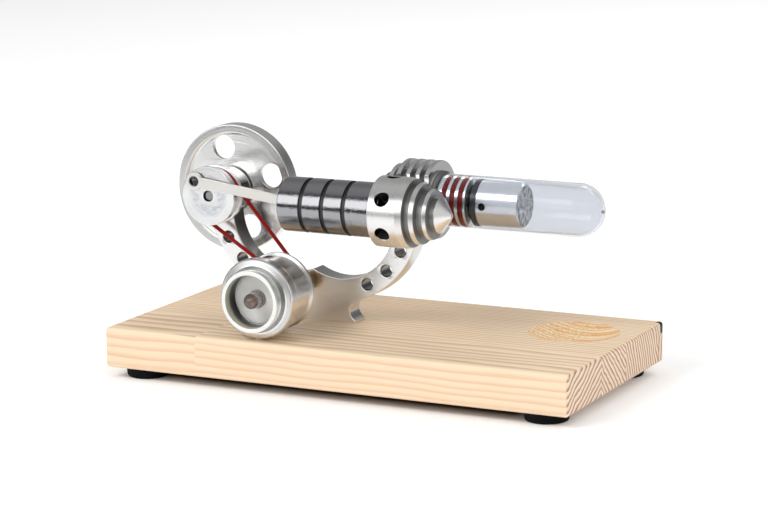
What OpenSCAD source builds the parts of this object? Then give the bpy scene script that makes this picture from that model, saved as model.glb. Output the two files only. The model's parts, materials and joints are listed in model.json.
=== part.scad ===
// Small hot-air engine with a lamp generator on a wooden board.
// X runs along the board to the hot end, Y runs away from the lamp, Z is up.
// The origin is the middle of the board, level with the underside of the feet.

/* [Board] */
// Length of the wooden board
board_l = 160; // [150:1:200]
// Width of the wooden board
board_w = 80; // [76:1:110]
// Thickness of the wooden board
board_t = 13; // [11:0.5:20]
// Radius of the board's softened edges
board_edge = 1; // [0.4:0.2:2]
// Radius of the burner hollow at the board's face
dish_r = 14.8; // [11:0.2:16]
// Depth of the burner hollow
dish_depth = 4; // [2:0.5:6]
// Radius of a rubber foot
foot_r = 7.2; // [6:0.2:8]
// Height of a rubber foot
foot_h = 3.5; // [3:0.5:6]
// Distance from the board's end to the middle of a foot
foot_inset_x = 10.4; // [9:0.2:14]
// Distance from the board's side to the middle of a foot
foot_inset_y = 9; // [8.4:0.2:12]

/* [Frame plate] */
// Height of the crankshaft above the board
axis_h = 39.5; // [39:0.5:43]
// Place of the frame's middle along the board
frame_x = -23.5; // [-26:0.5:-20]
// Thickness of the frame plate
plate_t = 7; // [6.6:0.2:8]
// Distance from the frame's middle to each head
head_reach = 34; // [33.4:0.2:35]
// Radius of each head
head_r = 7.5; // [7.2:0.1:8.4]
// Outer radius of each arm
arm_out_r = 31.9; // [31.4:0.1:32.4]
// Inner radius of each arm
arm_in_r = 19.6; // [19:0.1:20]
// Bevel along the plate's edges
plate_bevel = 0.3; // [0.1:0.1:0.5]
// Radius of the tapped holes in the arms
arm_hole_r = 2; // [1.5:0.1:2.2]
// Width of the frame's plinth
plinth_w = 29.8; // [29:0.2:32]
// Radius of the two bites in the plinth's sides
bite_r = 3.5; // [2.8:0.1:3.8]

/* [Crankshaft] */
// Radius of the crankshaft
shaft_r = 1.5; // [1.2:0.1:1.7]
// Radius of the crank disc
disc_r = 9.6; // [9:0.1:10.2]
// Width of the crank disc
disc_w = 6; // [5.6:0.1:6.2]
// Crank radius of the power side
power_crank = 6.4; // [5.5:0.1:6.8]
// Crank radius of the displacer side
displacer_crank = 5; // [4.4:0.1:5.4]
// Radius of the flywheel
wheel_r = 21; // [20:0.2:22]
// Width of the flywheel's rim
wheel_w = 5.5; // [5:0.1:6]
// Radius inside the flywheel's rim
wheel_rim_r = 18.4; // [18:0.1:18.8]
// Radius of the flywheel's four holes
wheel_hole_r = 4; // [3:0.1:4.2]

/* [Power side] */
// Distance from the plate's middle to either cylinder's axis
cylinder_off = 12.5; // [12.5:0.1:13]
// Bore radius of the power cylinder
bore_r = 7; // [6.4:0.1:7.2]
// Outer radius of the power cylinder
sleeve_r = 8.75; // [8.4:0.05:8.8]
// Length of the power cylinder
sleeve_l = 35.3; // [34:0.1:37]
// Radius of the power cylinder's cap
cap_r = 11.2; // [10.8:0.1:11.8]
// Length of the power cylinder's cap
cap_l = 24.3; // [23:0.1:27]
// Length of the piston
piston_l = 14; // [12:0.5:15]
// Length of the connecting rod between its centres
rod_l = 38; // [37:0.1:38.4]
// Height of the connecting rod's bar
rod_h = 3.1; // [2.4:0.1:3.4]
// Thickness of the connecting rod and the displacer link
rod_t = 1.2; // [1:0.1:1.3]

/* [Hot side] */
// Radius of the large cooling fins
fin_r = 12.6; // [11.8:0.1:13]
// Thickness of a cooling fin
fin_t = 1.5; // [1.2:0.1:1.8]
// Distance from fin to fin
fin_pitch = 3.3; // [3.2:0.1:3.6]
// Outer radius of the glass tube
glass_r = 8.5; // [8.4:0.05:8.8]
// Wall of the glass tube
glass_wall = 0.8; // [0.6:0.1:0.9]
// Length of the glass tube
glass_l = 53.8; // [50:0.2:60]
// Radius of the displacer's can
can_r = 7.05; // [6.6:0.05:7.1]
// Length of the displacer's can
can_l = 14.65; // [12:0.05:15]

/* [Generator] */
// Place of the generator's axis along the board
gen_x = -26.7; // [-27.5:0.1:-26]
// Radius of the generator's largest ring
gen_ring_r = 12.8; // [12.6:0.1:13]
// Radius of the generator's body
gen_body_r = 11.7; // [11.3:0.1:12]
// Place of the bezel's front face
gen_front_y = -40.6; // [-41:0.1:-40.4]
// Outer radius of the bezel
bezel_r = 9.9; // [9.7:0.1:10.4]
// Inner radius of the bezel
bezel_in_r = 8.4; // [8.1:0.1:8.5]
// Radius of the lamp
lamp_r = 2.5; // [1.5:0.1:2.5]
// Radius of the motor
motor_r = 9.4; // [8:0.1:9.5]
// Radius at which the belt's middle runs on the pulley
pulley_belt_r = 2.7; // [2.4:0.1:3]
// Radius at which the belt's middle runs on the crank disc
disc_belt_r = 8.65; // [8.2:0.05:8.8]
// Radius of the round belt's section
belt_r = 0.65; // [0.5:0.05:0.7]

/* [Hidden] */
$fn = 96;

// Clearances: fixed joints, running joints, and air between moving pieces
seat_gap = 0.02;
run_gap = 0.05;
air_gap = 0.3;
// Overrun of every cut past the face that it opens
over = 0.5;

// Board and feet
board_top = foot_h + board_t;
foot_x = board_l / 2 - foot_inset_x;
foot_y = board_w / 2 - foot_inset_y;
foot_taper = 0.5;
foot_screw_r = 1.2;
foot_screw_head_r = 2.6;
foot_screw_head_t = 1.4;
foot_screw_bite = 7;
foot_floor_t = 1.2;
dish_back = 1.8;
dish_tip_gap = 10.6;

// Frame plate: both arms mirror about the plate's middle
axis_z = board_top + axis_h;
shaft_x = frame_x - head_reach;
head_x = frame_x + head_reach;
arm_out_x = 6.5;
arm_out_drop = 1.2;
arm_in_x = 9.5;
arm_in_drop = 5.4;
arm_out_z = axis_z - arm_out_drop;
arm_in_z = axis_z - arm_in_drop;
arm_hole_ring = 28;
arm_hole_angles = [28.4, 45.7, 63];
arm_hole_bevel = 0.3;
plinth_fall = plinth_w / 2 - arm_out_x;
plinth_top = arm_out_z - sqrt(arm_out_r * arm_out_r - plinth_fall * plinth_fall) + over;
bite_x = 16.4;
bite_h = 4.3;
screw_r = 1.5;
screw_head_r = 2.8;
screw_head_t = 2.2;
screw_slot_r = 1.2;
screw_slot_t = 1.2;
frame_screw_x = 9;
frame_screw_bite = 8;
hex_sides = 6;

// Bearings in the left head
bearing_r = 4;
bearing_w = 3;
bearing_lip_r = 3.3;
bearing_inner_r = 2.2;
bearing_dish_t = 0.3;

// Crankshaft and what turns with it
disc_front_y = -11.2;
disc_back_y = disc_front_y + disc_w;
shaft_sink_share = 0.1;
belt_share = 0.6;
shaft_front_y = disc_front_y + disc_w * shaft_sink_share;
belt_y = disc_front_y + disc_w * belt_share;
groove_top_share = 0.4;
groove_floor_gap = 0.1;
groove_half = disc_w * groove_top_share / 2;
groove_floor_half = belt_r + groove_floor_gap;
disc_groove_r = disc_belt_r - belt_r - groove_floor_gap;
disc_edge = 0.3;
spacer_r = 2.4;
power_angle = 130.7;
displacer_angle = 220.7;
pin_r = 1;
pin_hole_depth = 3;
grub_r = 1.2;
grub_l = 3.6;
grub_socket_r = 0.6;
grub_socket_t = 1;
hub_lead = 0.8;
hub_front_y = plate_t / 2 + hub_lead;
hub_nose_l = 1.6;
wheel_front_y = hub_front_y + hub_nose_l;
wheel_back_y = wheel_front_y + wheel_w;
web_sink = 2;
wheel_web_t = 1.6;
web_front_y = wheel_front_y + web_sink;
web_back_y = web_front_y + wheel_web_t;
hub_r = 8;
hub_step_r = 6.6;
hub_step_t = 0.6;
wheel_hole_ring = 13.7;
wheel_hole_first = 109.6;
wheel_hole_count = 4;
wheel_edge = 0.4;
wheel_grub_back = 1.5;
wheel_grub_y = hub_front_y + wheel_grub_back;
shaft_back_y = wheel_back_y - hub_step_t;

// Power side
power_y = -cylinder_off;
cap_back = 4.8;
cap_x = head_x - cap_back;
sleeve_seat = 2.5;
sleeve_end_x = cap_x + sleeve_seat;
sleeve_x = sleeve_end_x - sleeve_l;
sleeve_groove_step = 7.55;
sleeve_groove_w = 1.5;
sleeve_groove_depth = 0.5;
sleeve_groove_count = 3;
sleeve_edge = 0.4;
// Each pair is a share of the cap's length and a share of its radius
cap_outline_shares = [[0, 0.97], [0.012, 1], [0.4, 1], [0.486, 0.955], [0.486, 0.768], [0.564, 0.768],
    [0.564, 0.875], [0.626, 0.84], [0.626, 0.616], [0.72, 0.616], [0.72, 0.724], [0.77, 0.688],
    [0.77, 0.438], [0.843, 0.438], [0.843, 0.527], [0.985, 0.11], [1, 0.07], [1, 0]];
cap_pocket_r = 2.5;
cap_pocket_floor = 5.7;
cap_pocket_angles = [-90, -30, 30, 90];
chamber_r = 4.5;
chamber_l = 6;
power_pin = [shaft_x + power_crank * cos(power_angle), axis_z + power_crank * sin(power_angle)];
wrist_x = power_pin[0] + sqrt(pow(rod_l, 2) - pow(power_pin[1] - axis_z, 2));
power_tilt = asin((power_pin[1] - axis_z) / rod_l);
piston_lead = 2.9;
piston_gap = 0.05;
piston_r = bore_r - piston_gap;
piston_slot_h = 8.4;
piston_slot_gap = 0.4;
piston_ring_depth = 0.25;
piston_ring_w = 0.6;
piston_ring_step = 2;
piston_wall = 1.2;
wrist_pin_r = 1;
rod_eye_r = 2.8;
pin_head_r = 1.7;
pin_head_t = 0.5;

// Stud and pins that join both cylinders to the right head
stud_r = 2;
stud_bore_r = 1.2;
stud_bite = 3;
passage_r = 1.5;
dowel_r = 1;
dowel_off = 5.2;
dowel_bite = 2;

// Hot side
hot_y = cylinder_off;
hub_back = 3.8;
hot_hub_x = head_x + hub_back;
// Share of the fin radius that each fin reaches, from the crank side to the hot side
fin_shares = [0.62, 0.86, 1, 1, 1, 1];
fin_root_r = 8.5;
fin_neck_r = 5;
nose_r = 3.4;
nose_back = 21.1;
nose_x = head_x - nose_back;
pad_half_h = 6.9;
pad_w = 11.3;
fin_clear = 0.3;
hot_hub_r = 9.3;
hot_hub_t = 1.3;
hot_step_t = 0.8;
glass_in_r = glass_r - glass_wall;
glass_gap = 0.1;
glass_x = hot_hub_x + hot_hub_t + hot_step_t + glass_gap;
stub_gap = 0.15;
stub_r = glass_in_r - stub_gap;
stub_l = 11.9;
stub_end_x = hot_hub_x + stub_l;
seal_r = 0.8;
seal_lead = 4.45;
seal_x0 = hot_hub_x + seal_lead;
seal_step = 2.85;
seal_count = 3;
seal_ring_r = glass_in_r - seat_gap - seal_r;
seal_groove_w = 1.7;
hot_chamber_r = 5.3;
hot_chamber_back = 3.5;
hot_chamber_x = head_x - hot_chamber_back;
bush_r = 3;
displacer_rod_r = 1.5;
bush_gap = 0.03;
dish_x = glass_x + glass_l - dish_tip_gap;
dish_y = hot_y + dish_back;
dish_ball_r = (dish_r * dish_r + dish_depth * dish_depth) / (2 * dish_depth);
displacer_pin = [shaft_x + displacer_crank * cos(displacer_angle),
    axis_z + displacer_crank * sin(displacer_angle)];
clevis_x = displacer_pin[0] + sqrt(pow(rod_l, 2) - pow(displacer_pin[1] - axis_z, 2));
displacer_tilt = asin((displacer_pin[1] - axis_z) / rod_l);
clevis_r = 2.6;
clevis_lead = 2.3;
clevis_tail = 3.6;
clevis_web = 1.2;
clevis_pin_r = 0.8;
link_h = 2.6;
link_eye_r = 2;
link_end_r = 2.3;
plug_r = 7.2;
plug_t = 2;
plug_spigot = 0.9;
plug_lead = 1.5;
plug_x = stub_end_x + plug_lead;
can_wall = 0.4;
can_edge = 0.5;
can_x = plug_x + plug_t;
can_hole_r = 1.2;
can_hole_lead = 2.2;
can_hole_x = can_x + can_hole_lead;

// Generator, from its front to its back
gen_gap = 0.2;
gen_z = board_top + gen_ring_r + gen_gap;
bezel_l = 4.1;
gen_face_y = gen_front_y + bezel_l;
gen_ring_w = 4;
gen_ring_edge = 0.6;
gen_groove_r = 11;
gen_groove_w = 1.5;
gen_mid_r = 12;
gen_mid_w = 1.1;
gen_body_l = 15.1;
gen_back_y = gen_face_y + gen_body_l;
cover_t = 1.1;
cover_r = 12.3;
cover_spigot = 0.9;
cover_spigot_wall = 2.4;
recess_gap = 0.05;
lamp_seat_r = 9;
lamp_seat_depth = 1.6;
bezel_spigot_l = 1.5;
holder_gap = 0.1;
holder_t = 1.5;
web_t = 1;
web_hole_r = 3;
holder_r = 7.9;
lamp_face_y = gen_face_y + lamp_seat_depth;
web_y = lamp_face_y + holder_t;
motor_y = web_y + web_t;
motor_gap = 0.1;
motor_l = 9.6;
motor_boss_r = 3;
motor_boss_l = 2.6;
motor_shaft_r = 1;
lamp_flange_r = 2.9;
lamp_flange_t = 1;
lamp_l = 6.4;
lead_r = 0.25;
lead_off = 1.27;
clamp_back = 4.4;
clamp_y = gen_back_y - clamp_back;
clamp_angle = 97;
clamp_r = 1.5;
clamp_sink = 0.8;
gen_screw_bite = 2.6;
gen_screw_y = gen_face_y + gen_ring_w / 2;
pulley_half = 1.7;
pulley_rim = 1;
pulley_groove_r = pulley_belt_r - belt_r - groove_floor_gap;
pulley_r = pulley_belt_r + pulley_rim;
rotor_in = 1.4;

// A turned piece on an axis along Y: each point is a radius and a place along Y
module turned_y(x, z, points) {
    translate([x, 0, z])
        rotate([-90, 0, 0])
            rotate_extrude()
                polygon(points);
}

// A turned piece on an axis along X: each point is a radius and a place along X
module turned_x(y, z, points) {
    translate([0, y, z])
        rotate([0, 90, 0])
            rotate_extrude()
                polygon(points);
}

// A round bar along Y from one place to another
module bar_y(x, z, from, to, r) {
    translate([x, from, z])
        rotate([-90, 0, 0])
            cylinder(h = to - from, r = r);
}

// A round bar along X from one place to another
module bar_x(y, z, from, to, r) {
    translate([from, y, z])
        rotate([0, 90, 0])
            cylinder(h = to - from, r = r);
}

// A round bar along Z from one place to another
module bar_z(x, y, from, to, r) {
    translate([x, y, from])
        cylinder(h = to - from, r = r);
}

// A block between two corners
module block(low, high) {
    translate(low)
        cube(high - low);
}

// A bar that is a hexagon across its section, along Z
module hex_z(x, y, from, to, r) {
    translate([x, y, from])
        cylinder(h = to - from, r = r, $fn = hex_sides);
}

// A flat rounded rectangle, centred
module rounded_rect(a, b, r) {
    square([a - 2 * r, b], center = true);
    square([a, b - 2 * r], center = true);
    for (sx = [-1, 1], sy = [-1, 1])
        translate([sx * (a / 2 - r), sy * (b / 2 - r)])
            circle(r = r);
}

module board_blank() {
    intersection() {
        translate([0, 0, foot_h])
            linear_extrude(board_t)
                rounded_rect(board_l, board_w, board_edge);
        translate([0, board_w / 2, foot_h + board_t / 2])
            rotate([90, 0, 0])
                linear_extrude(board_w)
                    rounded_rect(board_l, board_t, board_edge);
        translate([-board_l / 2, 0, foot_h + board_t / 2])
            rotate([90, 0, 90])
                linear_extrude(board_l)
                    rounded_rect(board_w, board_t, board_edge);
    }
}

module base_board() {
    color("burlywood")
        difference() {
            board_blank();
            translate([dish_x, dish_y, board_top + dish_ball_r - dish_depth])
                sphere(r = dish_ball_r);
            for (sx = [-1, 1], sy = [-1, 1])
                bar_z(sx * foot_x, sy * foot_y, foot_h - over, foot_h + foot_screw_bite + over,
                    foot_screw_r + seat_gap);
            for (sx = [-1, 1])
                screw_way(frame_x + sx * frame_screw_x, 0);
            screw_way(gen_x, gen_screw_y);
        }
}

// The way for a screw that comes up through the board: a pocket for its head and a clearance hole
module screw_way(x, y) {
    bar_z(x, y, foot_h - over, foot_h + screw_head_t + over, screw_head_r + air_gap);
    bar_z(x, y, foot_h, board_top + over, screw_r + air_gap);
}

// A pan-head screw with a hexagon socket that comes up through the board
module board_screw(x, y, bite) {
    difference() {
        union() {
            bar_z(x, y, foot_h + over, foot_h + over + screw_head_t, screw_head_r);
            bar_z(x, y, foot_h + over, board_top + bite, screw_r);
        }
        hex_z(x, y, foot_h, foot_h + over + screw_slot_t, screw_slot_r);
    }
}

module rubber_feet() {
    color("black")
        for (sx = [-1, 1], sy = [-1, 1])
            translate([sx * foot_x, sy * foot_y, 0])
                difference() {
                    cylinder(h = foot_h, r1 = foot_r - foot_taper, r2 = foot_r);
                    cylinder(h = 2 * (foot_h - foot_floor_t), r = foot_screw_head_r + air_gap, center = true);
                    cylinder(h = foot_h + over, r = foot_screw_r + seat_gap);
                }
}

module foot_screws() {
    color("dimgray")
        for (sx = [-1, 1], sy = [-1, 1])
            difference() {
                union() {
                    bar_z(sx * foot_x, sy * foot_y, foot_h - foot_floor_t - foot_screw_head_t,
                        foot_h - foot_floor_t, foot_screw_head_r);
                    bar_z(sx * foot_x, sy * foot_y, foot_h - foot_floor_t, foot_h + foot_screw_bite,
                        foot_screw_r);
                }
                hex_z(sx * foot_x, sy * foot_y, 0, foot_h - foot_floor_t - foot_screw_head_t / 2,
                    screw_slot_r);
            }
}

// A disc as thick as the plate with both rims bevelled
module plate_disc(x, z, r) {
    turned_y(x, z, [[0, -plate_t / 2], [r - plate_bevel, -plate_t / 2], [r, plate_bevel - plate_t / 2],
        [r, plate_t / 2 - plate_bevel], [r - plate_bevel, plate_t / 2], [0, plate_t / 2]]);
}

// A round cut through the plate with both of its edges bevelled
module plate_cut(x, z, r, bevel) {
    bar_y(x, z, -plate_t / 2 - over, plate_t / 2 + over, r);
    for (side = [-1, 1])
        translate([x, side * (plate_t / 2 - bevel), z])
            rotate([-90 * side, 0, 0])
                cylinder(h = bevel + over, r1 = r, r2 = r + bevel + over);
}

module frame_arm() {
    difference() {
        intersection() {
            plate_disc(arm_out_x, arm_out_z, arm_out_r);
            block([0, -plate_t, board_top], [arm_out_x + arm_out_r, plate_t, axis_z]);
        }
        plate_cut(arm_in_x, arm_in_z, arm_in_r, plate_bevel);
    }
    plate_disc(head_reach, axis_z, head_r);
}

module frame_plate() {
    color("lightgray")
        translate([frame_x, 0, 0])
            difference() {
                union() {
                    frame_arm();
                    mirror([1, 0, 0])
                        frame_arm();
                    block([-plinth_w / 2, -plate_t / 2, board_top], [plinth_w / 2, plate_t / 2, plinth_top]);
                }
                for (side = [-1, 1]) {
                    plate_cut(side * bite_x, board_top + bite_h, bite_r, plate_bevel);
                    for (a = arm_hole_angles)
                        plate_cut(side * (arm_out_x + arm_hole_ring * cos(a)),
                            arm_out_z - arm_hole_ring * sin(a), arm_hole_r, arm_hole_bevel);
                    bar_z(side * frame_screw_x, 0, board_top - over, board_top + frame_screw_bite + over,
                        screw_r + seat_gap);
                    bar_y(-head_reach, axis_z, plate_t / 2 - bearing_w, plate_t / 2 + over,
                        bearing_r + seat_gap);
                    bar_y(-head_reach, axis_z, -plate_t / 2 - over, bearing_w - plate_t / 2,
                        bearing_r + seat_gap);
                    bar_y(head_reach, axis_z + side * dowel_off, -plate_t, plate_t, dowel_r + seat_gap);
                }
                bar_y(-head_reach, axis_z, -plate_t, plate_t, bearing_lip_r);
                bar_y(head_reach, axis_z, -plate_t, plate_t, stud_r + seat_gap);
            }
}

module frame_screws() {
    color("silver")
        for (side = [-1, 1])
            board_screw(frame_x + side * frame_screw_x, 0, frame_screw_bite);
}

module shaft_bearings() {
    color("silver")
        for (side = [-1, 1])
            turned_y(shaft_x, axis_z, [for (p = [
                [shaft_r + run_gap, bearing_w], [bearing_r, bearing_w], [bearing_r, 0], [bearing_lip_r, 0],
                [bearing_lip_r, bearing_dish_t], [bearing_inner_r, bearing_dish_t], [bearing_inner_r, 0],
                [shaft_r + run_gap, 0]]) [p[0], side * (plate_t / 2 - p[1])]]);
}

module transfer_tube() {
    color("silver")
        difference() {
            bar_y(head_x, axis_z, -plate_t / 2 - stud_bite, plate_t / 2 + stud_bite, stud_r);
            bar_y(head_x, axis_z, -plate_t - stud_bite, plate_t + stud_bite, stud_bore_r);
        }
}

module locating_pins() {
    color("silver")
        for (side = [-1, 1])
            bar_y(head_x, axis_z + side * dowel_off, -plate_t / 2 - dowel_bite, plate_t / 2 + dowel_bite,
                dowel_r);
}

module power_cylinder() {
    color("dimgray")
        difference() {
            turned_x(power_y, axis_z, [[bore_r, sleeve_x], [sleeve_r - sleeve_edge, sleeve_x],
                [sleeve_r, sleeve_x + sleeve_edge], [sleeve_r, sleeve_end_x], [bore_r, sleeve_end_x]]);
            for (i = [1 : sleeve_groove_count])
                turned_x(power_y, axis_z, [
                    for (c = [[0, 0], [1, 0], [1, 1], [0, 1]])
                        [sleeve_r - sleeve_groove_depth + c[0] * (sleeve_groove_depth + over),
                            sleeve_x + i * sleeve_groove_step + c[1] * sleeve_groove_w]]);
        }
}

module power_cap() {
    color("gainsboro")
        difference() {
            turned_x(power_y, axis_z, concat([[0, cap_x]],
                [for (s = cap_outline_shares) [s[1] * cap_r, cap_x + s[0] * cap_l]]));
            block([cap_x - over, -plate_t / 2, axis_z - cap_r], [cap_x + cap_l, 0, axis_z + cap_r]);
            bar_x(power_y, axis_z, cap_x - over, sleeve_end_x, sleeve_r + seat_gap);
            bar_x(power_y, axis_z, cap_x, sleeve_end_x + chamber_l, chamber_r);
            for (a = cap_pocket_angles)
                translate([head_x, power_y, axis_z])
                    rotate([90 + a, 0, 0])
                        translate([0, 0, cap_pocket_floor])
                            cylinder(h = cap_r, r = cap_pocket_r);
            bar_y(head_x, axis_z, -plate_t / 2 - stud_bite, 0, stud_r + seat_gap);
            bar_y(head_x, axis_z, power_y, 0, passage_r);
            for (side = [-1, 1])
                bar_y(head_x, axis_z + side * dowel_off, -plate_t / 2 - dowel_bite - over, 0,
                    dowel_r + seat_gap);
        }
}

module fin(i) {
    right = hot_hub_x - (len(fin_shares) - 1 - i) * fin_pitch;
    bar_x(hot_y, axis_z, right - fin_t, right, fin_r * fin_shares[i]);
}

module heatsink_body() {
    small_end_x = hot_hub_x - (len(fin_shares) - 1) * fin_pitch;
    neck_end_x = small_end_x + fin_pitch;
    difference() {
        union() {
            for (i = [0 : len(fin_shares) - 1])
                fin(i);
            turned_x(hot_y, axis_z, [[0, nose_x], [nose_r, nose_x], [nose_r, small_end_x - fin_t],
                [fin_neck_r, small_end_x - fin_t], [fin_neck_r, neck_end_x - fin_t],
                [fin_root_r, neck_end_x - fin_t], [fin_root_r, hot_hub_x], [hot_hub_r, hot_hub_x],
                [hot_hub_r, hot_hub_x + hot_hub_t], [stub_r, hot_hub_x + hot_hub_t + hot_step_t],
                [stub_r, stub_end_x], [0, stub_end_x]]);
        }
        block([nose_x, -fin_r, axis_z - fin_r],
            [hot_hub_x + hot_hub_t, plate_t / 2 + fin_clear, axis_z + fin_r]);
    }
    block([hot_hub_x - pad_w, plate_t / 2, axis_z - pad_half_h], [hot_hub_x, hot_y, axis_z + pad_half_h]);
}

module displacer_heatsink() {
    color("gainsboro")
        difference() {
            heatsink_body();
            bar_x(hot_y, axis_z, nose_x - over, hot_chamber_x + over, bush_r + seat_gap);
            bar_x(hot_y, axis_z, hot_chamber_x, stub_end_x + over, hot_chamber_r);
            bar_y(head_x, axis_z, 0, plate_t / 2 + stud_bite, stud_r + seat_gap);
            bar_y(head_x, axis_z, 0, hot_y, passage_r);
            for (side = [-1, 1])
                bar_y(head_x, axis_z + side * dowel_off, 0, plate_t / 2 + dowel_bite + over,
                    dowel_r + seat_gap);
            for (i = [0 : seal_count - 1])
                turned_x(hot_y, axis_z, [
                    for (c = [[0, -1], [1, -1], [1, 1], [0, 1]])
                        [seal_ring_r - seal_r - seat_gap + c[0] * (2 * seal_r + over),
                            seal_x0 + i * seal_step + c[1] * seal_groove_w / 2]]);
        }
}

module guide_bush() {
    color("goldenrod")
        difference() {
            bar_x(hot_y, axis_z, nose_x, hot_chamber_x, bush_r);
            bar_x(hot_y, axis_z, nose_x - over, hot_chamber_x + over, displacer_rod_r + bush_gap);
        }
}

module tube_seals() {
    color("firebrick")
        for (i = [0 : seal_count - 1])
            translate([seal_x0 + i * seal_step, hot_y, axis_z])
                rotate([0, 90, 0])
                    rotate_extrude()
                        translate([seal_ring_r, 0])
                            circle(r = seal_r, $fn = 32);
}

module glass_shell(r, from) {
    bar_x(hot_y, axis_z, from, glass_x + glass_l - glass_r, r);
    translate([glass_x + glass_l - glass_r, hot_y, axis_z])
        sphere(r = r);
}

module glass_tube() {
    color("lightcyan", 0.4)
        difference() {
            glass_shell(glass_r, glass_x);
            glass_shell(glass_in_r, glass_x - over);
        }
}

module generator_housing() {
    ring_end = gen_face_y + gen_ring_w;
    color("gainsboro")
        difference() {
            turned_y(gen_x, gen_z, [[0, gen_face_y], [gen_ring_r - gen_ring_edge, gen_face_y],
                [gen_ring_r, gen_face_y + gen_ring_edge], [gen_ring_r, ring_end], [gen_groove_r, ring_end],
                [gen_groove_r, ring_end + gen_groove_w], [gen_mid_r, ring_end + gen_groove_w],
                [gen_mid_r, ring_end + gen_groove_w + gen_mid_w],
                [gen_body_r, ring_end + gen_groove_w + gen_mid_w], [gen_body_r, gen_back_y],
                [0, gen_back_y]]);
            bar_y(gen_x, gen_z, gen_face_y - over, lamp_face_y, lamp_seat_r);
            bar_y(gen_x, gen_z, gen_face_y - over, web_y, holder_r + holder_gap);
            bar_y(gen_x, gen_z, gen_face_y, gen_back_y, web_hole_r);
            bar_y(gen_x, gen_z, motor_y, gen_back_y + over, motor_r + motor_gap);
            clamp_bar(motor_r - over, gen_ring_r, clamp_r + seat_gap);
            bar_z(gen_x, gen_screw_y, board_top - over, board_top + gen_screw_bite + over,
                screw_r + seat_gap);
        }
}

// A bar from one radius to another at the clamp screw's place on the generator's body
module clamp_bar(from, to, r, sides = $fn) {
    translate([gen_x, clamp_y, gen_z])
        rotate([0, 90 - clamp_angle, 0])
            translate([0, 0, from])
                cylinder(h = to - from, r = r, $fn = sides);
}

module generator_bezel() {
    color("whitesmoke")
        turned_y(gen_x, gen_z, [[bezel_in_r, gen_front_y], [bezel_r - gen_ring_edge, gen_front_y],
            [bezel_r, gen_front_y + gen_ring_edge], [bezel_r, gen_face_y],
            [lamp_seat_r - recess_gap, gen_face_y], [lamp_seat_r - recess_gap, gen_face_y + bezel_spigot_l],
            [bezel_in_r, gen_face_y + bezel_spigot_l]]);
}

module generator_rear_cover() {
    color("gainsboro")
        turned_y(gen_x, gen_z, [[motor_boss_r + holder_gap, gen_back_y],
            [motor_r - cover_spigot_wall, gen_back_y], [motor_r - cover_spigot_wall, gen_back_y - cover_spigot],
            [motor_r, gen_back_y - cover_spigot], [motor_r, gen_back_y], [cover_r, gen_back_y],
            [cover_r, gen_back_y + cover_t], [motor_boss_r + holder_gap, gen_back_y + cover_t]]);
}

module generator_motor() {
    color("silver")
        difference() {
            turned_y(gen_x, gen_z, [[0, motor_y], [motor_r, motor_y], [motor_r, motor_y + motor_l],
                [motor_boss_r, motor_y + motor_l], [motor_boss_r, motor_y + motor_l + motor_boss_l],
                [0, motor_y + motor_l + motor_boss_l]]);
            bar_y(gen_x, gen_z, motor_y + rotor_in, gen_back_y + motor_l, motor_shaft_r + run_gap);
        }
}

module motor_clamp_screw() {
    color("dimgray")
        difference() {
            clamp_bar(motor_r, gen_body_r - clamp_sink, clamp_r);
            clamp_bar(gen_body_r - clamp_sink - grub_socket_t, gen_body_r, clamp_r / 2, hex_sides);
        }
}

module generator_screw() {
    color("silver")
        board_screw(gen_x, gen_screw_y, gen_screw_bite);
}

module led_holder() {
    color("whitesmoke")
        difference() {
            bar_y(gen_x, gen_z, lamp_face_y, web_y, holder_r);
            for (side = [-1, 1])
                bar_y(gen_x, gen_z + side * lead_off, lamp_face_y - over, web_y + over, lead_r + seat_gap);
        }
}

module led_lamp() {
    color("linen", 0.8) {
        bar_y(gen_x, gen_z, lamp_face_y - lamp_flange_t, lamp_face_y, lamp_flange_r);
        bar_y(gen_x, gen_z, lamp_face_y - lamp_l + lamp_r, lamp_face_y, lamp_r);
        translate([gen_x, lamp_face_y - lamp_l + lamp_r, gen_z])
            sphere(r = lamp_r);
    }
}

module led_leads() {
    color("silver")
        for (side = [-1, 1])
            bar_y(gen_x, gen_z + side * lead_off, lamp_face_y, motor_y, lead_r);
}

// The belt runs round the crank disc and the pulley, with two straight strands between them
belt_dx = gen_x - shaft_x;
belt_dz = gen_z - axis_z;
belt_span = sqrt(belt_dx * belt_dx + belt_dz * belt_dz);
belt_heading = atan2(belt_dz, belt_dx);
belt_wrap = acos((disc_belt_r - pulley_belt_r) / belt_span);
belt_sides = 12;
disc_steps = 36;
pulley_steps = 18;
// Each stop is a wheel's centre, the belt's radius about it and the angle there
belt_stops = concat(
    [for (i = [0 : disc_steps])
        [shaft_x, axis_z, disc_belt_r, belt_heading + belt_wrap + (360 - 2 * belt_wrap) * i / disc_steps]],
    [for (i = [0 : pulley_steps])
        [gen_x, gen_z, pulley_belt_r, belt_heading - belt_wrap + 2 * belt_wrap * i / pulley_steps]]);

// A point of the belt's surface at a stop, at an angle round its section
function belt_point(stop, turn) =
    let (reach = stop[2] + belt_r * cos(turn))
    [stop[0] + reach * cos(stop[3]), belt_y + belt_r * sin(turn), stop[1] + reach * sin(stop[3])];

module drive_belt() {
    rings = len(belt_stops);
    points = [for (stop = belt_stops, j = [0 : belt_sides - 1]) belt_point(stop, 360 * j / belt_sides)];
    faces = [for (k = [0 : rings - 1], j = [0 : belt_sides - 1], half = [0, 1])
        let (next_k = (k + 1) % rings, next_j = (j + 1) % belt_sides)
        half == 0
            ? [k * belt_sides + j, next_k * belt_sides + j, next_k * belt_sides + next_j]
            : [k * belt_sides + j, next_k * belt_sides + next_j, k * belt_sides + next_j]];
    color("firebrick")
        polyhedron(points, faces);
}

module crankshaft() {
    color("silver")
        bar_y(shaft_x, axis_z, shaft_front_y, shaft_back_y, shaft_r);
}

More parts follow.
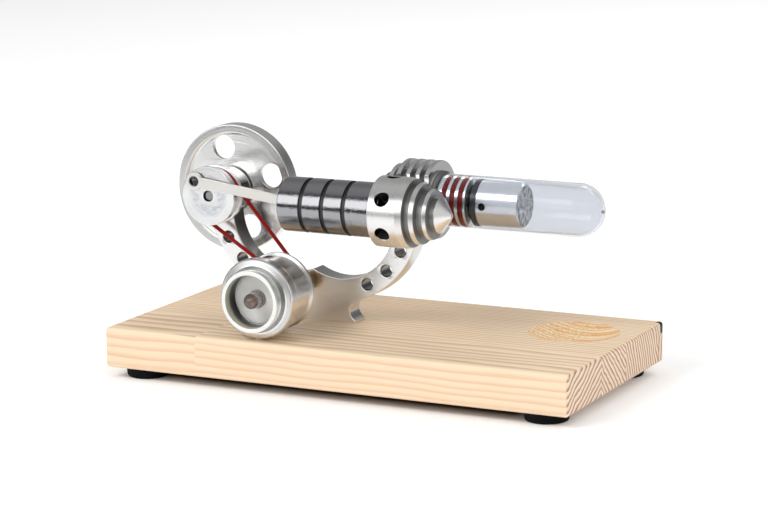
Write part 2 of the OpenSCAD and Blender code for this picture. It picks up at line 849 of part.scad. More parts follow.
module crank_disc() {
    color("gainsboro")
        difference() {
            turned_y(shaft_x, axis_z, [[shaft_r + seat_gap, disc_front_y], [disc_r - disc_edge, disc_front_y],
                [disc_r, disc_front_y + disc_edge], [disc_r, belt_y - groove_half],
                [disc_groove_r, belt_y - groove_floor_half], [disc_groove_r, belt_y + groove_floor_half],
                [disc_r, belt_y + groove_half], [disc_r, disc_back_y], [shaft_r + seat_gap, disc_back_y]]);
            bar_y(power_pin[0], power_pin[1], disc_front_y - over, disc_front_y + pin_hole_depth, pin_r);
            bar_z(shaft_x, belt_y, axis_z - disc_r, axis_z, grub_r + seat_gap);
        }
}

// A headless screw with a hexagon socket, seated against the crankshaft from below
module shaft_grub(y) {
    seat_z = axis_z - shaft_r - seat_gap;
    difference() {
        bar_z(shaft_x, y, seat_z - grub_l, seat_z, grub_r);
        hex_z(shaft_x, y, seat_z - grub_l - over, seat_z - grub_l + grub_socket_t, grub_socket_r);
    }
}

module disc_set_screw() {
    color("dimgray")
        shaft_grub(belt_y);
}

module shaft_spacers() {
    color("silver") {
        turned_y(shaft_x, axis_z, [[shaft_r + seat_gap, disc_back_y], [spacer_r, disc_back_y],
            [spacer_r, -plate_t / 2 - air_gap], [shaft_r + seat_gap, -plate_t / 2 - air_gap]]);
        turned_y(shaft_x, axis_z, [[shaft_r + seat_gap, plate_t / 2 + air_gap],
            [spacer_r, plate_t / 2 + air_gap], [spacer_r, hub_front_y], [shaft_r + seat_gap, hub_front_y]]);
    }
}

module flywheel() {
    color("gainsboro")
        difference() {
            turned_y(shaft_x, axis_z, [[shaft_r + seat_gap, hub_front_y], [hub_step_r, hub_front_y],
                [hub_step_r, hub_front_y + hub_step_t], [hub_r, hub_front_y + hub_step_t],
                [hub_r, web_front_y], [wheel_rim_r, web_front_y], [wheel_rim_r, wheel_front_y],
                [wheel_r - wheel_edge, wheel_front_y], [wheel_r, wheel_front_y + wheel_edge],
                [wheel_r, wheel_back_y - wheel_edge], [wheel_r - wheel_edge, wheel_back_y],
                [wheel_rim_r, wheel_back_y], [wheel_rim_r, web_back_y], [hub_r, web_back_y],
                [hub_r, wheel_back_y], [shaft_r + seat_gap, wheel_back_y]]);
            for (i = [0 : wheel_hole_count - 1])
                rotate_about_shaft(wheel_hole_first - i * 360 / wheel_hole_count, wheel_hole_ring)
                    bar_y(0, 0, wheel_front_y, wheel_back_y, wheel_hole_r);
            bar_y(displacer_pin[0], displacer_pin[1], wheel_back_y - pin_hole_depth, wheel_back_y + over,
                pin_r);
            bar_z(shaft_x, wheel_grub_y, axis_z - hub_r - over, axis_z, grub_r + seat_gap);
        }
}

// Places its children at a distance from the crankshaft, at an angle up from +X
module rotate_about_shaft(angle, reach) {
    translate([shaft_x + reach * cos(angle), 0, axis_z + reach * sin(angle)])
        children();
}

module flywheel_set_screw() {
    color("dimgray")
        shaft_grub(wheel_grub_y);
}

module motor_shaft() {
    color("silver")
        bar_y(gen_x, gen_z, motor_y + rotor_in + air_gap, belt_y + pulley_half, motor_shaft_r);
}

module drive_pulley() {
    color("goldenrod")
        turned_y(gen_x, gen_z, [[motor_shaft_r + seat_gap, belt_y - pulley_half],
            [pulley_r, belt_y - pulley_half], [pulley_r, belt_y - groove_half],
            [pulley_groove_r, belt_y - groove_floor_half], [pulley_groove_r, belt_y + groove_floor_half],
            [pulley_r, belt_y + groove_half], [pulley_r, belt_y + pulley_half],
            [motor_shaft_r + seat_gap, belt_y + pulley_half]]);
}

module power_piston() {
    left = wrist_x - piston_lead;
    slot_end = wrist_x + rod_eye_r + piston_slot_gap;
    ring_end = left + piston_l - piston_ring_step;
    slot_half = rod_t / 2 + air_gap;
    color("silver")
        difference() {
            bar_x(power_y, axis_z, left, left + piston_l, piston_r);
            block([left - over, power_y - slot_half, axis_z - piston_slot_h / 2],
                [slot_end, power_y + slot_half, axis_z + piston_slot_h / 2]);
            bar_x(power_y, axis_z, slot_end + piston_wall, left + piston_l + over, piston_r - piston_wall);
            bar_y(wrist_x, axis_z, power_y - bore_r, power_y + bore_r, wrist_pin_r + seat_gap);
            for (i = [0 : 1])
                turned_x(power_y, axis_z, [
                    for (c = [[0, 0], [1, 0], [1, 1], [0, 1]])
                        [piston_r - piston_ring_depth + c[0] * (piston_ring_depth + over),
                            ring_end - i * piston_ring_step + c[1] * piston_ring_w]]);
        }
}

module wrist_pin() {
    color("silver")
        bar_y(wrist_x, axis_z, power_y - piston_r + air_gap, power_y + piston_r - air_gap, wrist_pin_r);
}

// A flat bar with an eye at each end, drawn along X from its first centre
module flat_rod(length, height, eye_a, eye_b) {
    rotate([90, 0, 0])
        linear_extrude(rod_t, center = true) {
            circle(r = eye_a);
            translate([length, 0])
                circle(r = eye_b);
            translate([0, -height / 2])
                square([length, height]);
        }
}

module power_rod() {
    color("silver")
        translate([power_pin[0], power_y, power_pin[1]])
            rotate([0, power_tilt, 0])
                difference() {
                    flat_rod(rod_l, rod_h, rod_eye_r, rod_eye_r);
                    bar_y(0, 0, -rod_t, rod_t, pin_r + seat_gap);
                    bar_y(0, 0, -rod_t, pin_head_t - rod_t / 2, pin_head_r + seat_gap);
                    bar_y(rod_l, 0, -rod_t, rod_t, wrist_pin_r + run_gap);
                }
}

module crank_pin_screw() {
    face_y = power_y - rod_t / 2;
    color("dimgray")
        difference() {
            union() {
                bar_y(power_pin[0], power_pin[1], face_y, face_y + pin_head_t, pin_head_r);
                bar_y(power_pin[0], power_pin[1], face_y, disc_front_y - air_gap, pin_r);
            }
            translate([power_pin[0], face_y - over, power_pin[1]])
                rotate([-90, 0, 0])
                    cylinder(h = over + pin_head_t, r = grub_socket_r, $fn = hex_sides);
        }
}

module displacer_can() {
    color("silver")
        difference() {
            turned_x(hot_y, axis_z, [[0, can_x], [can_r, can_x], [can_r, can_x + can_l - can_edge],
                [can_r - can_edge, can_x + can_l], [0, can_x + can_l]]);
            bar_x(hot_y, axis_z, can_x - over, can_x + can_l - 2 * can_edge, can_r - can_wall);
            bar_y(can_hole_x, axis_z, hot_y - 2 * can_r, hot_y, can_hole_r);
        }
}

module displacer_plug() {
    color("dimgray")
        difference() {
            union() {
                bar_x(hot_y, axis_z, plug_x, can_x, plug_r);
                bar_x(hot_y, axis_z, plug_x, can_x + plug_spigot, can_r - can_wall - seat_gap);
            }
            bar_x(hot_y, axis_z, plug_x - over, can_x + plug_spigot + over, displacer_rod_r + seat_gap);
        }
}

module displacer_rod() {
    color("silver")
        bar_x(hot_y, axis_z, clevis_x + clevis_tail - clevis_web, can_x + plug_spigot, displacer_rod_r);
}

module rod_clevis() {
    color("silver")
        difference() {
            bar_x(hot_y, axis_z, clevis_x - clevis_lead, clevis_x + clevis_tail, clevis_r);
            block([clevis_x - clevis_lead - over, hot_y - rod_t / 2 - air_gap, axis_z - clevis_r],
                [clevis_x + clevis_tail - clevis_web, hot_y + rod_t / 2 + air_gap, axis_z + clevis_r]);
            bar_x(hot_y, axis_z, clevis_x, clevis_x + clevis_tail + over, displacer_rod_r + seat_gap);
            bar_y(clevis_x, axis_z, hot_y - clevis_r, hot_y + clevis_r, clevis_pin_r + seat_gap);
        }
}

module clevis_pin() {
    color("silver")
        bar_y(clevis_x, axis_z, hot_y - clevis_r, hot_y + clevis_r, clevis_pin_r);
}

module displacer_link() {
    color("silver")
        translate([displacer_pin[0], hot_y, displacer_pin[1]])
            rotate([0, displacer_tilt, 0])
                difference() {
                    flat_rod(rod_l, link_h, link_end_r, link_eye_r);
                    bar_y(0, 0, -rod_t, rod_t, pin_r + seat_gap);
                    bar_y(rod_l, 0, -rod_t, rod_t, clevis_pin_r + run_gap);
                }
}

module link_pin_screw() {
    face_y = hot_y + rod_t / 2;
    color("dimgray")
        difference() {
            union() {
                bar_y(displacer_pin[0], displacer_pin[1], face_y, face_y + 2 * pin_head_t, pin_head_r);
                bar_y(displacer_pin[0], displacer_pin[1], wheel_back_y + air_gap, face_y, pin_r);
            }
            translate([displacer_pin[0], face_y + pin_head_t, displacer_pin[1]])
                rotate([-90, 0, 0])
                    cylinder(h = over + pin_head_t, r = grub_socket_r, $fn = hex_sides);
        }
}

base_board();
rubber_feet();
foot_screws();
frame_plate();
frame_screws();
shaft_bearings();
transfer_tube();
locating_pins();
power_cylinder();
power_cap();
displacer_heatsink();
guide_bush();
tube_seals();
glass_tube();
generator_housing();
generator_bezel();
generator_rear_cover();
generator_motor();
motor_clamp_screw();
generator_screw();
led_holder();
led_lamp();
led_leads();
drive_belt();
crankshaft();
crank_disc();
disc_set_screw();
shaft_spacers();
flywheel();
flywheel_set_screw();
motor_shaft();
drive_pulley();
power_piston();
wrist_pin();
power_rod();
crank_pin_screw();
displacer_can();
displacer_plug();
displacer_rod();
rod_clevis();
clevis_pin();
displacer_link();
link_pin_screw();
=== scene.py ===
"""Looks of a small hot-air engine with a lamp generator on a pine board.

Sizes are in millimetres and are turned into metres where a mesh is made.
"""

import json
import math

import bpy
import numpy as np
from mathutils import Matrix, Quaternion, Vector
from mathutils.geometry import tessellate_polygon


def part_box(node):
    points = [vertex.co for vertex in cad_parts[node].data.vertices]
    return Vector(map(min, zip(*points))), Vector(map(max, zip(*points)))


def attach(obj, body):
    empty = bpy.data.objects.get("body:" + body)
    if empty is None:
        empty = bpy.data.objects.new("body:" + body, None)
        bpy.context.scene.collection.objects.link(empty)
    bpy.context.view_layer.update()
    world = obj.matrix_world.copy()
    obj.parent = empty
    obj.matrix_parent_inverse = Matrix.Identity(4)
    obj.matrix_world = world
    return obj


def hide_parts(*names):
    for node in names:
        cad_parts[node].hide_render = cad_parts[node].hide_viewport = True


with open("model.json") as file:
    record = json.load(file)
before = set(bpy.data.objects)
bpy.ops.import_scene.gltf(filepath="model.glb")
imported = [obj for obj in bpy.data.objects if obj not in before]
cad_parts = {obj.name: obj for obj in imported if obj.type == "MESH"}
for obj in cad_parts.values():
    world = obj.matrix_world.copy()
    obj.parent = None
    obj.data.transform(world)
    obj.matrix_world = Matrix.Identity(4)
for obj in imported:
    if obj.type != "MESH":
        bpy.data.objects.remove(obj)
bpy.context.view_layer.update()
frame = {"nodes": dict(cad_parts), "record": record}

MM = 0.001
RECORD = frame["record"]
BODY_OF = {n: b for b, nodes in RECORD["behaviour"]["bodies"].items() for n in nodes}
SLOT_OF = {s["node"]: s["material_slot"] for s in RECORD["subparts"]}


def span(node):
    """Lowest and highest corner of a CAD node, in millimetres."""
    low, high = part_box(node)
    return np.array(low) / MM, np.array(high) / MM


def middle(node):
    """The middle of a CAD node, in millimetres."""
    low, high = span(node)
    return (low + high) / 2


BOARD_LOW, BOARD_HIGH = span("base_board")
SHAFT_LOW, SHAFT_HIGH = span("crankshaft")
DISC_LOW, DISC_HIGH = span("crank_disc")
WHEEL_LOW, WHEEL_HIGH = span("flywheel")
PLATE_LOW, PLATE_HIGH = span("frame_plate")
SLEEVE_LOW, SLEEVE_HIGH = span("power_cylinder")
CAP_LOW, CAP_HIGH = span("power_cap")
SINK_LOW, SINK_HIGH = span("displacer_heatsink")
GLASS_LOW, GLASS_HIGH = span("glass_tube")
HOUSING_LOW, HOUSING_HIGH = span("generator_housing")
BEZEL_LOW, BEZEL_HIGH = span("generator_bezel")
BELT_LOW, BELT_HIGH = span("drive_belt")
PULLEY_LOW, PULLEY_HIGH = span("drive_pulley")
LAMP_LOW, LAMP_HIGH = span("led_lamp")

BOARD_TOP = BOARD_HIGH[2]
DISH_R = 14.8
DISH_DEPTH = 4.0
DISH = (GLASS_HIGH[0] - 10.6, (GLASS_LOW[1] + GLASS_HIGH[1]) / 2 + 1.8)
SHAFT_X = (SHAFT_LOW[0] + SHAFT_HIGH[0]) / 2
AXIS_Z = (SHAFT_LOW[2] + SHAFT_HIGH[2]) / 2
POWER_Y = (SLEEVE_LOW[1] + SLEEVE_HIGH[1]) / 2
HOT_Y = (GLASS_LOW[1] + GLASS_HIGH[1]) / 2
GEN_X = (BEZEL_LOW[0] + BEZEL_HIGH[0]) / 2
GEN_Z = (BEZEL_LOW[2] + BEZEL_HIGH[2]) / 2
FRAME_X = (PLATE_LOW[0] + PLATE_HIGH[0]) / 2
SLEEVE_R = (SLEEVE_HIGH[1] - SLEEVE_LOW[1]) / 2
BELT_Y = (BELT_LOW[1] + BELT_HIGH[1]) / 2
GROOVE_HALF, GROOVE_LEAN = 1.2, 0.45
HEAD_REACH = 34.0

# An axis is its direction and the place it runs through, in the order of AXES.
POWER_AXIS = ("x", (POWER_Y, AXIS_Z))
HOT_AXIS = ("x", (HOT_Y, AXIS_Z))
CRANK_AXIS = ("y", (AXIS_Z, SHAFT_X))
GENERATOR_AXIS = ("y", (GEN_Z, GEN_X))

ALUMINIUM = (0.90, 0.90, 0.89)
STEEL = (0.72, 0.72, 0.725)
DARK = (0.075, 0.075, 0.08)
BRASS = (0.80, 0.60, 0.30)


# Mesh tools

SHARP_ANGLE = math.radians(32)


def soften(corners, closed, soft, steps=4):
    """Points and outward normals of a profile whose corners are rounded.

    Each corner becomes a quadratic curve that leaves one side and joins the next, s from 0 to 1:
    (1-s)^2 a + 2s(1-s) corner + s^2 b. The outward normal is the tangent turned a quarter turn.
    """
    p = np.array([c[:2] for c in corners], float)
    radii = [c[2] if len(c) > 2 else soft for c in corners]
    n = len(p)
    s = np.linspace(0, 1, steps + 1)[:, None]
    points, normals = [], []

    def turn(t):
        return np.stack([t[..., 1], -t[..., 0]], -1)

    for i in range(n):
        if not closed and i in (0, n - 1):
            t = p[1] - p[0] if i == 0 else p[n - 1] - p[n - 2]
            points.append(p[i][None])
            normals.append(turn(t / np.linalg.norm(t))[None])
            continue
        before, after = p[i] - p[i - 1], p[(i + 1) % n] - p[i]
        length_a, length_b = np.linalg.norm(before), np.linalg.norm(after)
        ua, ub = before / length_a, after / length_b
        bend = math.acos(float(np.clip(ua @ ub, -1, 1)))
        wanted = radii[i] * math.tan(bend / 2) if bend < 3 else radii[i]
        reach = min(wanted, 0.45 * length_a, 0.45 * length_b)
        if reach < 1e-4 or bend < 0.02:
            points.append(p[i][None])
            mean = ua + ub
            normals.append(turn(mean / np.linalg.norm(mean))[None])
            continue
        a, b = p[i] - ua * reach, p[i] + ub * reach
        points.append((1 - s) ** 2 * a + 2 * s * (1 - s) * p[i] + s ** 2 * b)
        t = (1 - s) * ua + s * ub
        normals.append(turn(t / np.linalg.norm(t, axis=1, keepdims=True)))
    return np.concatenate(points), np.concatenate(normals)


# The two directions across each axis, then the axis itself. A plate's outline is drawn in FLAT_AXES.
AXES = {"x": (1, 2, 0), "y": (2, 0, 1), "z": (0, 1, 2)}
FLAT_AXES = {"y": (0, 2, 1), "z": (0, 1, 2)}


def turned(axis, centre, corners, closed=False, soft=0.12, steps=144):
    """Surface of revolution: centre + radius (cos u e1 + sin u e2) + place along the axis.

    A corner is (radius, place) or (radius, place, softening). Returns vertices, faces and normals.
    """
    points, flat_normals = soften(corners, closed, soft)
    e1, e2, e3 = AXES[axis]
    u = np.arange(steps) * 2 * math.pi / steps
    count = np.where(points[:, 0] < 1e-6, 1, steps)
    start = np.concatenate([[0], np.cumsum(count)[:-1]])
    verts, normals = np.zeros((count.sum(), 3)), np.zeros((count.sum(), 3))
    for i, (r, t) in enumerate(points):
        rows = slice(start[i], start[i] + count[i])
        c, s = (np.cos(u), np.sin(u)) if count[i] > 1 else (np.ones(1), np.zeros(1))
        verts[rows, e1], verts[rows, e2], verts[rows, e3] = r * c, r * s, t
        nr, nt = flat_normals[i]
        normals[rows, e1], normals[rows, e2], normals[rows, e3] = nr * c, nr * s, nt
    verts[:, e1] += centre[0]
    verts[:, e2] += centre[1]
    j, k = np.arange(steps), (np.arange(steps) + 1) % steps
    faces = []
    last = len(points) if closed else len(points) - 1
    for i in range(last):
        m = (i + 1) % len(points)
        a, b = start[i], start[m]
        if count[i] > 1 and count[m] > 1:
            faces += np.stack([a + j, a + k, b + k, b + j], 1).tolist()
        elif count[m] > 1:
            faces += np.stack([np.full(steps, a), b + k, b + j], 1).tolist()
        elif count[i] > 1:
            faces += np.stack([a + j, a + k, np.full(steps, b)], 1).tolist()
    return verts, faces, normals


def join(*shapes):
    """Several shapes as one: vertices, faces and normals one after another."""
    verts, faces, normals, shift = [], [], [], 0
    for v, f, n in shapes:
        verts.append(v)
        normals.append(n)
        faces += [[i + shift for i in face] for face in f]
        shift += len(v)
    return np.concatenate(verts), faces, np.concatenate(normals)


def circle(x, y, r, steps=48):
    """Points of a circle, turning left."""
    u = np.arange(steps) * 2 * math.pi / steps
    return np.stack([x + r * np.cos(u), y + r * np.sin(u)], 1)


def arc(x, y, r, start, end, steps=24):
    """Points of an arc between two angles in degrees."""
    u = np.radians(np.linspace(start, end, steps))
    return np.stack([x + r * np.cos(u), y + r * np.sin(u)], 1)


def inset(loop, depth):
    """A loop moved inwards: each point goes along its mitre, which halves the angle of its two sides."""
    before = loop - np.roll(loop, 1, 0)
    after = np.roll(loop, -1, 0) - loop
    before /= np.linalg.norm(before, axis=1, keepdims=True)
    after /= np.linalg.norm(after, axis=1, keepdims=True)
    na = np.stack([-before[:, 1], before[:, 0]], 1)
    nb = np.stack([-after[:, 1], after[:, 0]], 1)
    mean = na + nb
    mean /= np.linalg.norm(mean, axis=1, keepdims=True)
    scale = np.clip(1 / np.maximum((mean * na).sum(1), 0.4), 1, 2.5)
    return loop + mean * (depth * scale)[:, None]


def plate(axis, loops, low, high, bevel, steps=3):
    """A flat plate with rounded edges, from an outline that turns left and holes that turn right.

    Each loop gives rings whose inset is b (1 - cos a) and whose depth is b (1 - sin a), a from 0 to 90
    degrees, at both faces; the faces are filled between the innermost rings.
    """
    e1, e2, e3 = FLAT_AXES[axis]
    a = np.linspace(0, math.pi / 2, steps + 1)
    ins, dep = bevel * (1 - np.cos(a)), bevel * (1 - np.sin(a))
    verts, faces, shift, caps = [], [], 0, ([], [])
    for loop in loops:
        n = len(loop)
        levels = [(i, low + d) for i, d in zip(ins[::-1], dep[::-1])]
        levels += [(i, high - d) for i, d in zip(ins, dep)]
        for depth, place in levels:
            flat = inset(loop, depth)
            ring = np.zeros((n, 3))
            ring[:, e1], ring[:, e2], ring[:, e3] = flat[:, 0], flat[:, 1], place
            verts.append(ring)
        j, k = np.arange(n), (np.arange(n) + 1) % n
        for level in range(len(levels) - 1):
            p, q = shift + level * n, shift + (level + 1) * n
            faces += np.stack([p + j, p + k, q + k, q + j], 1).tolist()
        caps[0].append((shift, inset(loop, levels[0][0])))
        caps[1].append((shift + (len(levels) - 1) * n, inset(loop, levels[-1][0])))
        shift += n * len(levels)
    for side, cap in enumerate(caps):
        index = np.concatenate([np.arange(len(flat)) + first for first, flat in cap])
        triangles = tessellate_polygon([[Vector((x, y, 0)) for x, y in flat] for _, flat in cap])
        points = np.concatenate([flat for _, flat in cap])
        for t in triangles:
            (x0, y0), (x1, y1), (x2, y2) = points[list(t)]
            left = (x1 - x0) * (y2 - y0) - (x2 - x0) * (y1 - y0) > 0
            order = list(t) if left == (side == 1) else list(t)[::-1]
            faces.append([int(index[i]) for i in order])
    if axis == "y":
        faces = [f[::-1] for f in faces]
    verts = np.concatenate(verts)
    return verts, faces, np.zeros_like(verts)


def tube(path, radius, sides=20):
    """A round tube along a closed path in a plane of constant Y: path + radius (cos v n + sin v y)."""
    t = np.roll(path, -1, 0) - np.roll(path, 1, 0)
    t /= np.linalg.norm(t, axis=1, keepdims=True)
    n = np.stack([t[:, 2], np.zeros(len(t)), -t[:, 0]], 1)
    v = np.arange(sides) * 2 * math.pi / sides
    side = n[:, None] * np.cos(v)[None, :, None] + np.array([0, 1, 0]) * np.sin(v)[None, :, None]
    verts = (path[:, None] + radius * side).reshape(-1, 3)
    rings = len(path)
    i, j = np.meshgrid(np.arange(rings), np.arange(sides), indexing="ij")
    a, b = i * sides + j, i * sides + (j + 1) % sides
    c, d = ((i + 1) % rings) * sides + (j + 1) % sides, ((i + 1) % rings) * sides + j
    faces = np.stack([a, b, c, d], -1).reshape(-1, 4).tolist()
    return verts, faces, side.reshape(-1, 3)


def swing(shape, axis, angle, place):
    """A shape turned about an axis through the origin, a cos - b sin and a sin + b cos, then moved."""
    verts, faces, normals = shape
    e1, e2 = AXES[axis][:2]
    c, s = math.cos(angle), math.sin(angle)
    moved = verts.copy()
    moved[:, e1] = c * verts[:, e1] - s * verts[:, e2]
    moved[:, e2] = s * verts[:, e1] + c * verts[:, e2]
    return moved + place, faces, normals


def make_object(name, shape):
    """A Blender mesh object from vertices in millimetres, faces and vertex normals."""
    verts, faces, normals = shape
    mesh = bpy.data.meshes.new(name)
    mesh.from_pydata((verts * MM).tolist(), [], faces)
    mesh.update()
    mesh.shade_smooth()
    if np.abs(normals).max() > 0:
        mesh.normals_split_custom_set_from_vertices(normals.tolist())
    obj = bpy.data.objects.new(name, mesh)
    bpy.context.scene.collection.objects.link(obj)
    return obj


def apply_modifiers(obj):
    """Turns the object's modifiers into its mesh."""
    bpy.context.view_layer.update()
    graph = bpy.context.evaluated_depsgraph_get()
    mesh = bpy.data.meshes.new_from_object(obj.evaluated_get(graph))
    old = obj.data
    obj.modifiers.clear()
    obj.data = mesh
    bpy.data.meshes.remove(old)


def crisp(obj):
    """Smooth shading that stops at sharp edges, with large faces leading."""
    obj.data.shade_smooth()
    obj.data.set_sharp_from_angle(angle=SHARP_ANGLE)
    weighted = obj.modifiers.new("weighted", "WEIGHTED_NORMAL")
    weighted.keep_sharp = True
    weighted.weight = 80
    apply_modifiers(obj)


def gather(items, name, width, kind=np.float64):
    """One value or vector of every item of a mesh, as an array."""
    values = np.empty(len(items) * width, kind)
    items.foreach_get(name, values)
    return values if width == 1 else values.reshape(-1, width)


def turned_normals(obj, axis, centre, corners, closed=False, soft=0.12):
    """Gives a cut piece the exact normals of its turned surface again.

    A face lies on that surface where a side of the profile runs through its corners and has its normal.
    Its corners then take the profile's normal (1 - s) n0 + s n1 at their share s of that side, turned to
    their own angle. Faces of the cuts keep the mesh's normals.
    """
    near, alike = 0.03, 0.9
    mesh = obj.data
    mesh.shade_smooth()
    mesh.set_sharp_from_angle(angle=SHARP_ANGLE)
    points, flat = soften(corners, closed, soft)
    last = len(points) if closed else len(points) - 1
    a, b = points[:last], np.roll(points, -1, 0)[:last]
    na, nb = flat[:last], np.roll(flat, -1, 0)[:last]
    e1, e2, e3 = AXES[axis]
    index = gather(mesh.loops, "vertex_index", 1, np.int32)
    total = gather(mesh.polygons, "loop_total", 1, np.int32)
    p = gather(mesh.vertices, "co", 3)[index] / MM
    own = np.repeat(gather(mesh.polygons, "normal", 3), total, axis=0)
    normals = gather(mesh.corner_normals, "vector", 3)
    out = p[:, [e1, e2]] - centre
    radius = np.maximum(np.linalg.norm(out, axis=1), 1e-6)
    out /= radius[:, None]
    spot = np.stack([radius, p[:, e3]], 1)
    lean = np.stack([(own[:, [e1, e2]] * out).sum(1), own[:, e3]], 1)
    side = b - a
    size = np.maximum((side * side).sum(1), 1e-12)
    share = np.clip(((spot[:, None] - a) * side).sum(2) / size, 0, 1)
    gap = np.linalg.norm(spot[:, None] - a - share[..., None] * side, axis=2)
    facing = np.stack([side[:, 1], -side[:, 0]], 1) / np.sqrt(size)[:, None]
    score = np.where(gap < near, lean @ facing.T, -1.0)
    best = score.argmax(1)
    rows = np.arange(len(index))
    s = share[rows, best][:, None]
    mean = (1 - s) * na[best] + s * nb[best]
    mean /= np.maximum(np.linalg.norm(mean, axis=1, keepdims=True), 1e-9)
    exact = np.zeros_like(normals)
    exact[:, e1], exact[:, e2], exact[:, e3] = mean[:, 0] * out[:, 0], mean[:, 0] * out[:, 1], mean[:, 1]
    chosen = np.where((score[rows, best] > alike)[:, None], exact, normals)
    mesh.normals_split_custom_set(chosen.tolist())


def carve(obj, *cutters, operation="DIFFERENCE", lathe=None):
    """Cuts shapes out of an object, or joins them to it. A lathe is what the piece was turned from."""
    for shape in cutters:
        cutter = make_object("cutter", shape)
        boolean = obj.modifiers.new("carve", "BOOLEAN")
        boolean.operation = operation
        boolean.solver = "EXACT"
        boolean.object = cutter
        apply_modifiers(obj)
        bpy.data.objects.remove(cutter)
    if lathe is None:
        crisp(obj)
    else:
        turned_normals(obj, *lathe)


def bar(axis, centre, low, high, radius, steps=48):
    """A plain round bar along an axis, for cutting."""
    return turned(axis, centre, [(0, low), (radius, low), (radius, high), (0, high)], soft=0, steps=steps)


def groove(r, floor_r, left, right, lean=0.0, lip=0.1, foot=0.1):
    """Four corners of a groove in a profile: its sides lean in, and its lips and its feet are softened."""
    return [(r, left, lip), (floor_r, left + lean, foot), (floor_r, right - lean, foot), (r, right, lip)]


def block(low, high):
    """A plain block between two corners, for cutting."""
    loop = np.array([[low[0], low[1]], [high[0], low[1]], [high[0], high[1]], [low[0], high[1]]], float)
    return plate("z", [loop], low[2], high[2], 0.01, steps=1)


# Shader tools

def math_node(operation, swapped=False):
    """A method for Wire that adds one Math node. Swapped, the other value comes first."""
    def method(wire, other):
        a, b = (other, wire) if swapped else (wire, other)
        return wire.graph.math(operation, a, b)
    return method


class Wire:
    """A socket of a node tree. Sums and products of wires add Math nodes; below and above give 1 or 0."""

    def __init__(self, graph, socket):
        self.graph = graph
        self.socket = socket

    __add__ = math_node("ADD")
    __radd__ = math_node("ADD", True)
    __sub__ = math_node("SUBTRACT")
    __rsub__ = math_node("SUBTRACT", True)
    __mul__ = math_node("MULTIPLY")
    __rmul__ = math_node("MULTIPLY", True)
    __truediv__ = math_node("DIVIDE")
    __pow__ = math_node("POWER")
    below = math_node("LESS_THAN")
    above = math_node("GREATER_THAN")


def opaque(colour):
    """A colour of three numbers with a fourth of 1. A wire stays as it is."""
    return colour if isinstance(colour, Wire) else (*colour, 1)


class Graph:
    """A node tree with one method that adds any node."""

    def __init__(self, tree):
        self.tree = tree
        self.tree.nodes.clear()

    def node(self, kind, settings=None, sockets=None, output=0):
        """Adds a node: its settings first, then the values or links of its sockets."""
        n = self.tree.nodes.new(kind)
        for key, value in (settings or {}).items():
            if key == "stops":
                ramp = n.color_ramp
                while len(ramp.elements) < len(value):
                    ramp.elements.new(0.5)
                for element, (place, colour) in zip(ramp.elements, value):
                    element.position = place
                    element.color = opaque(colour)
            else:
                setattr(n, key, value)
        for key, value in (sockets or {}).items():
            if isinstance(value, Wire):
                self.tree.links.new(value.socket, n.inputs[key])
            else:
                n.inputs[key].default_value = value
        return Wire(self, n.outputs[output] if len(n.outputs) else None)

    def place(self):
        """Object coordinates in millimetres, as a vector."""
        where = self.node("ShaderNodeTexCoord", output=3)
        return self.node("ShaderNodeVectorMath", {"operation": "SCALE"}, {0: where, "Scale": 1 / MM})

    def split(self, vector):
        """The three numbers of a vector."""
        n = self.node("ShaderNodeSeparateXYZ", None, {0: vector})
        return [Wire(self, n.socket.node.outputs[i]) for i in range(3)]

    def vector(self, x, y, z):
        """A vector from its three numbers."""
        return self.node("ShaderNodeCombineXYZ", None, {0: x, 1: y, 2: z})

    def tint(self, colour, tone):
        """A colour made darker or lighter by a number."""
        return self.node("ShaderNodeVectorMath", {"operation": "SCALE"}, {0: colour, "Scale": tone})

    def ease(self, value, start, end, low=0.0, high=1.0):
        """A number that goes evenly from low to high while the value goes from start to end."""
        return self.node("ShaderNodeMapRange", None, {0: value, 1: start, 2: end, 3: low, 4: high})

    def math(self, operation, a, b=0.0):
        """One Math node."""
        return self.node("ShaderNodeMath", {"operation": operation}, {0: a, 1: b})

    def mirror_rays(self):
        """What the camera or glass sees, and what a mirror sees, as two numbers from Light Path."""
        outs = self.node("ShaderNodeLightPath").socket.node.outputs
        through = Wire(self, outs["Is Transmission Ray"])
        return Wire(self, outs["Is Camera Ray"]) + through, Wire(self, outs["Is Glossy Ray"]) * (1 - through)

    def noise(self, vector, size, detail, rough):
        """Noise from 0 to 1 whose features are about size millimetres."""
        return self.node("ShaderNodeTexNoise", {"noise_dimensions": "3D"},
                         {"Vector": vector, "Scale": 1 / size, "Detail": detail, "Roughness": rough})

    def ramp(self, factor, stops):
        """A colour that goes evenly from stop to stop. A stop is (place, colour)."""
        return self.node("ShaderNodeValToRGB", {"stops": stops}, {0: factor})

    def grey_ramp(self, factor, stops):
        """A ramp whose stops are (place, tone)."""
        return self.ramp(factor, [(place, (tone, tone, tone)) for place, tone in stops])

    def blend(self, factor, a, b):
        """A mix of two colours."""
        return self.node("ShaderNodeMix", {"data_type": "RGBA"}, {0: factor, 6: opaque(a), 7: opaque(b)}, 2)

    def bump(self, height, depth):
        """A normal from a height of 0 to 1 that stands for depth millimetres."""
        sockets = {"Strength": 1.0, "Distance": depth * MM, "Height": height}
        return self.node("ShaderNodeBump", None, sockets)

    def finish(self, **sockets):
        """A Principled shader with these sockets, wired to the output."""
        named = {key.replace("_", " ").title().replace("Ior", "IOR"): sockets[key] for key in sockets}
        shader = self.node("ShaderNodeBsdfPrincipled", None, named)
        self.node("ShaderNodeOutputMaterial", None, {0: shader})


MATERIALS = {}


def material(name, build, *values):
    """The material of that name, made once."""
    if name not in MATERIALS:
        made = bpy.data.materials.new(name)
        made.use_nodes = True
        build(Graph(made.node_tree), *values)
        MATERIALS[name] = made
    return MATERIALS[name]


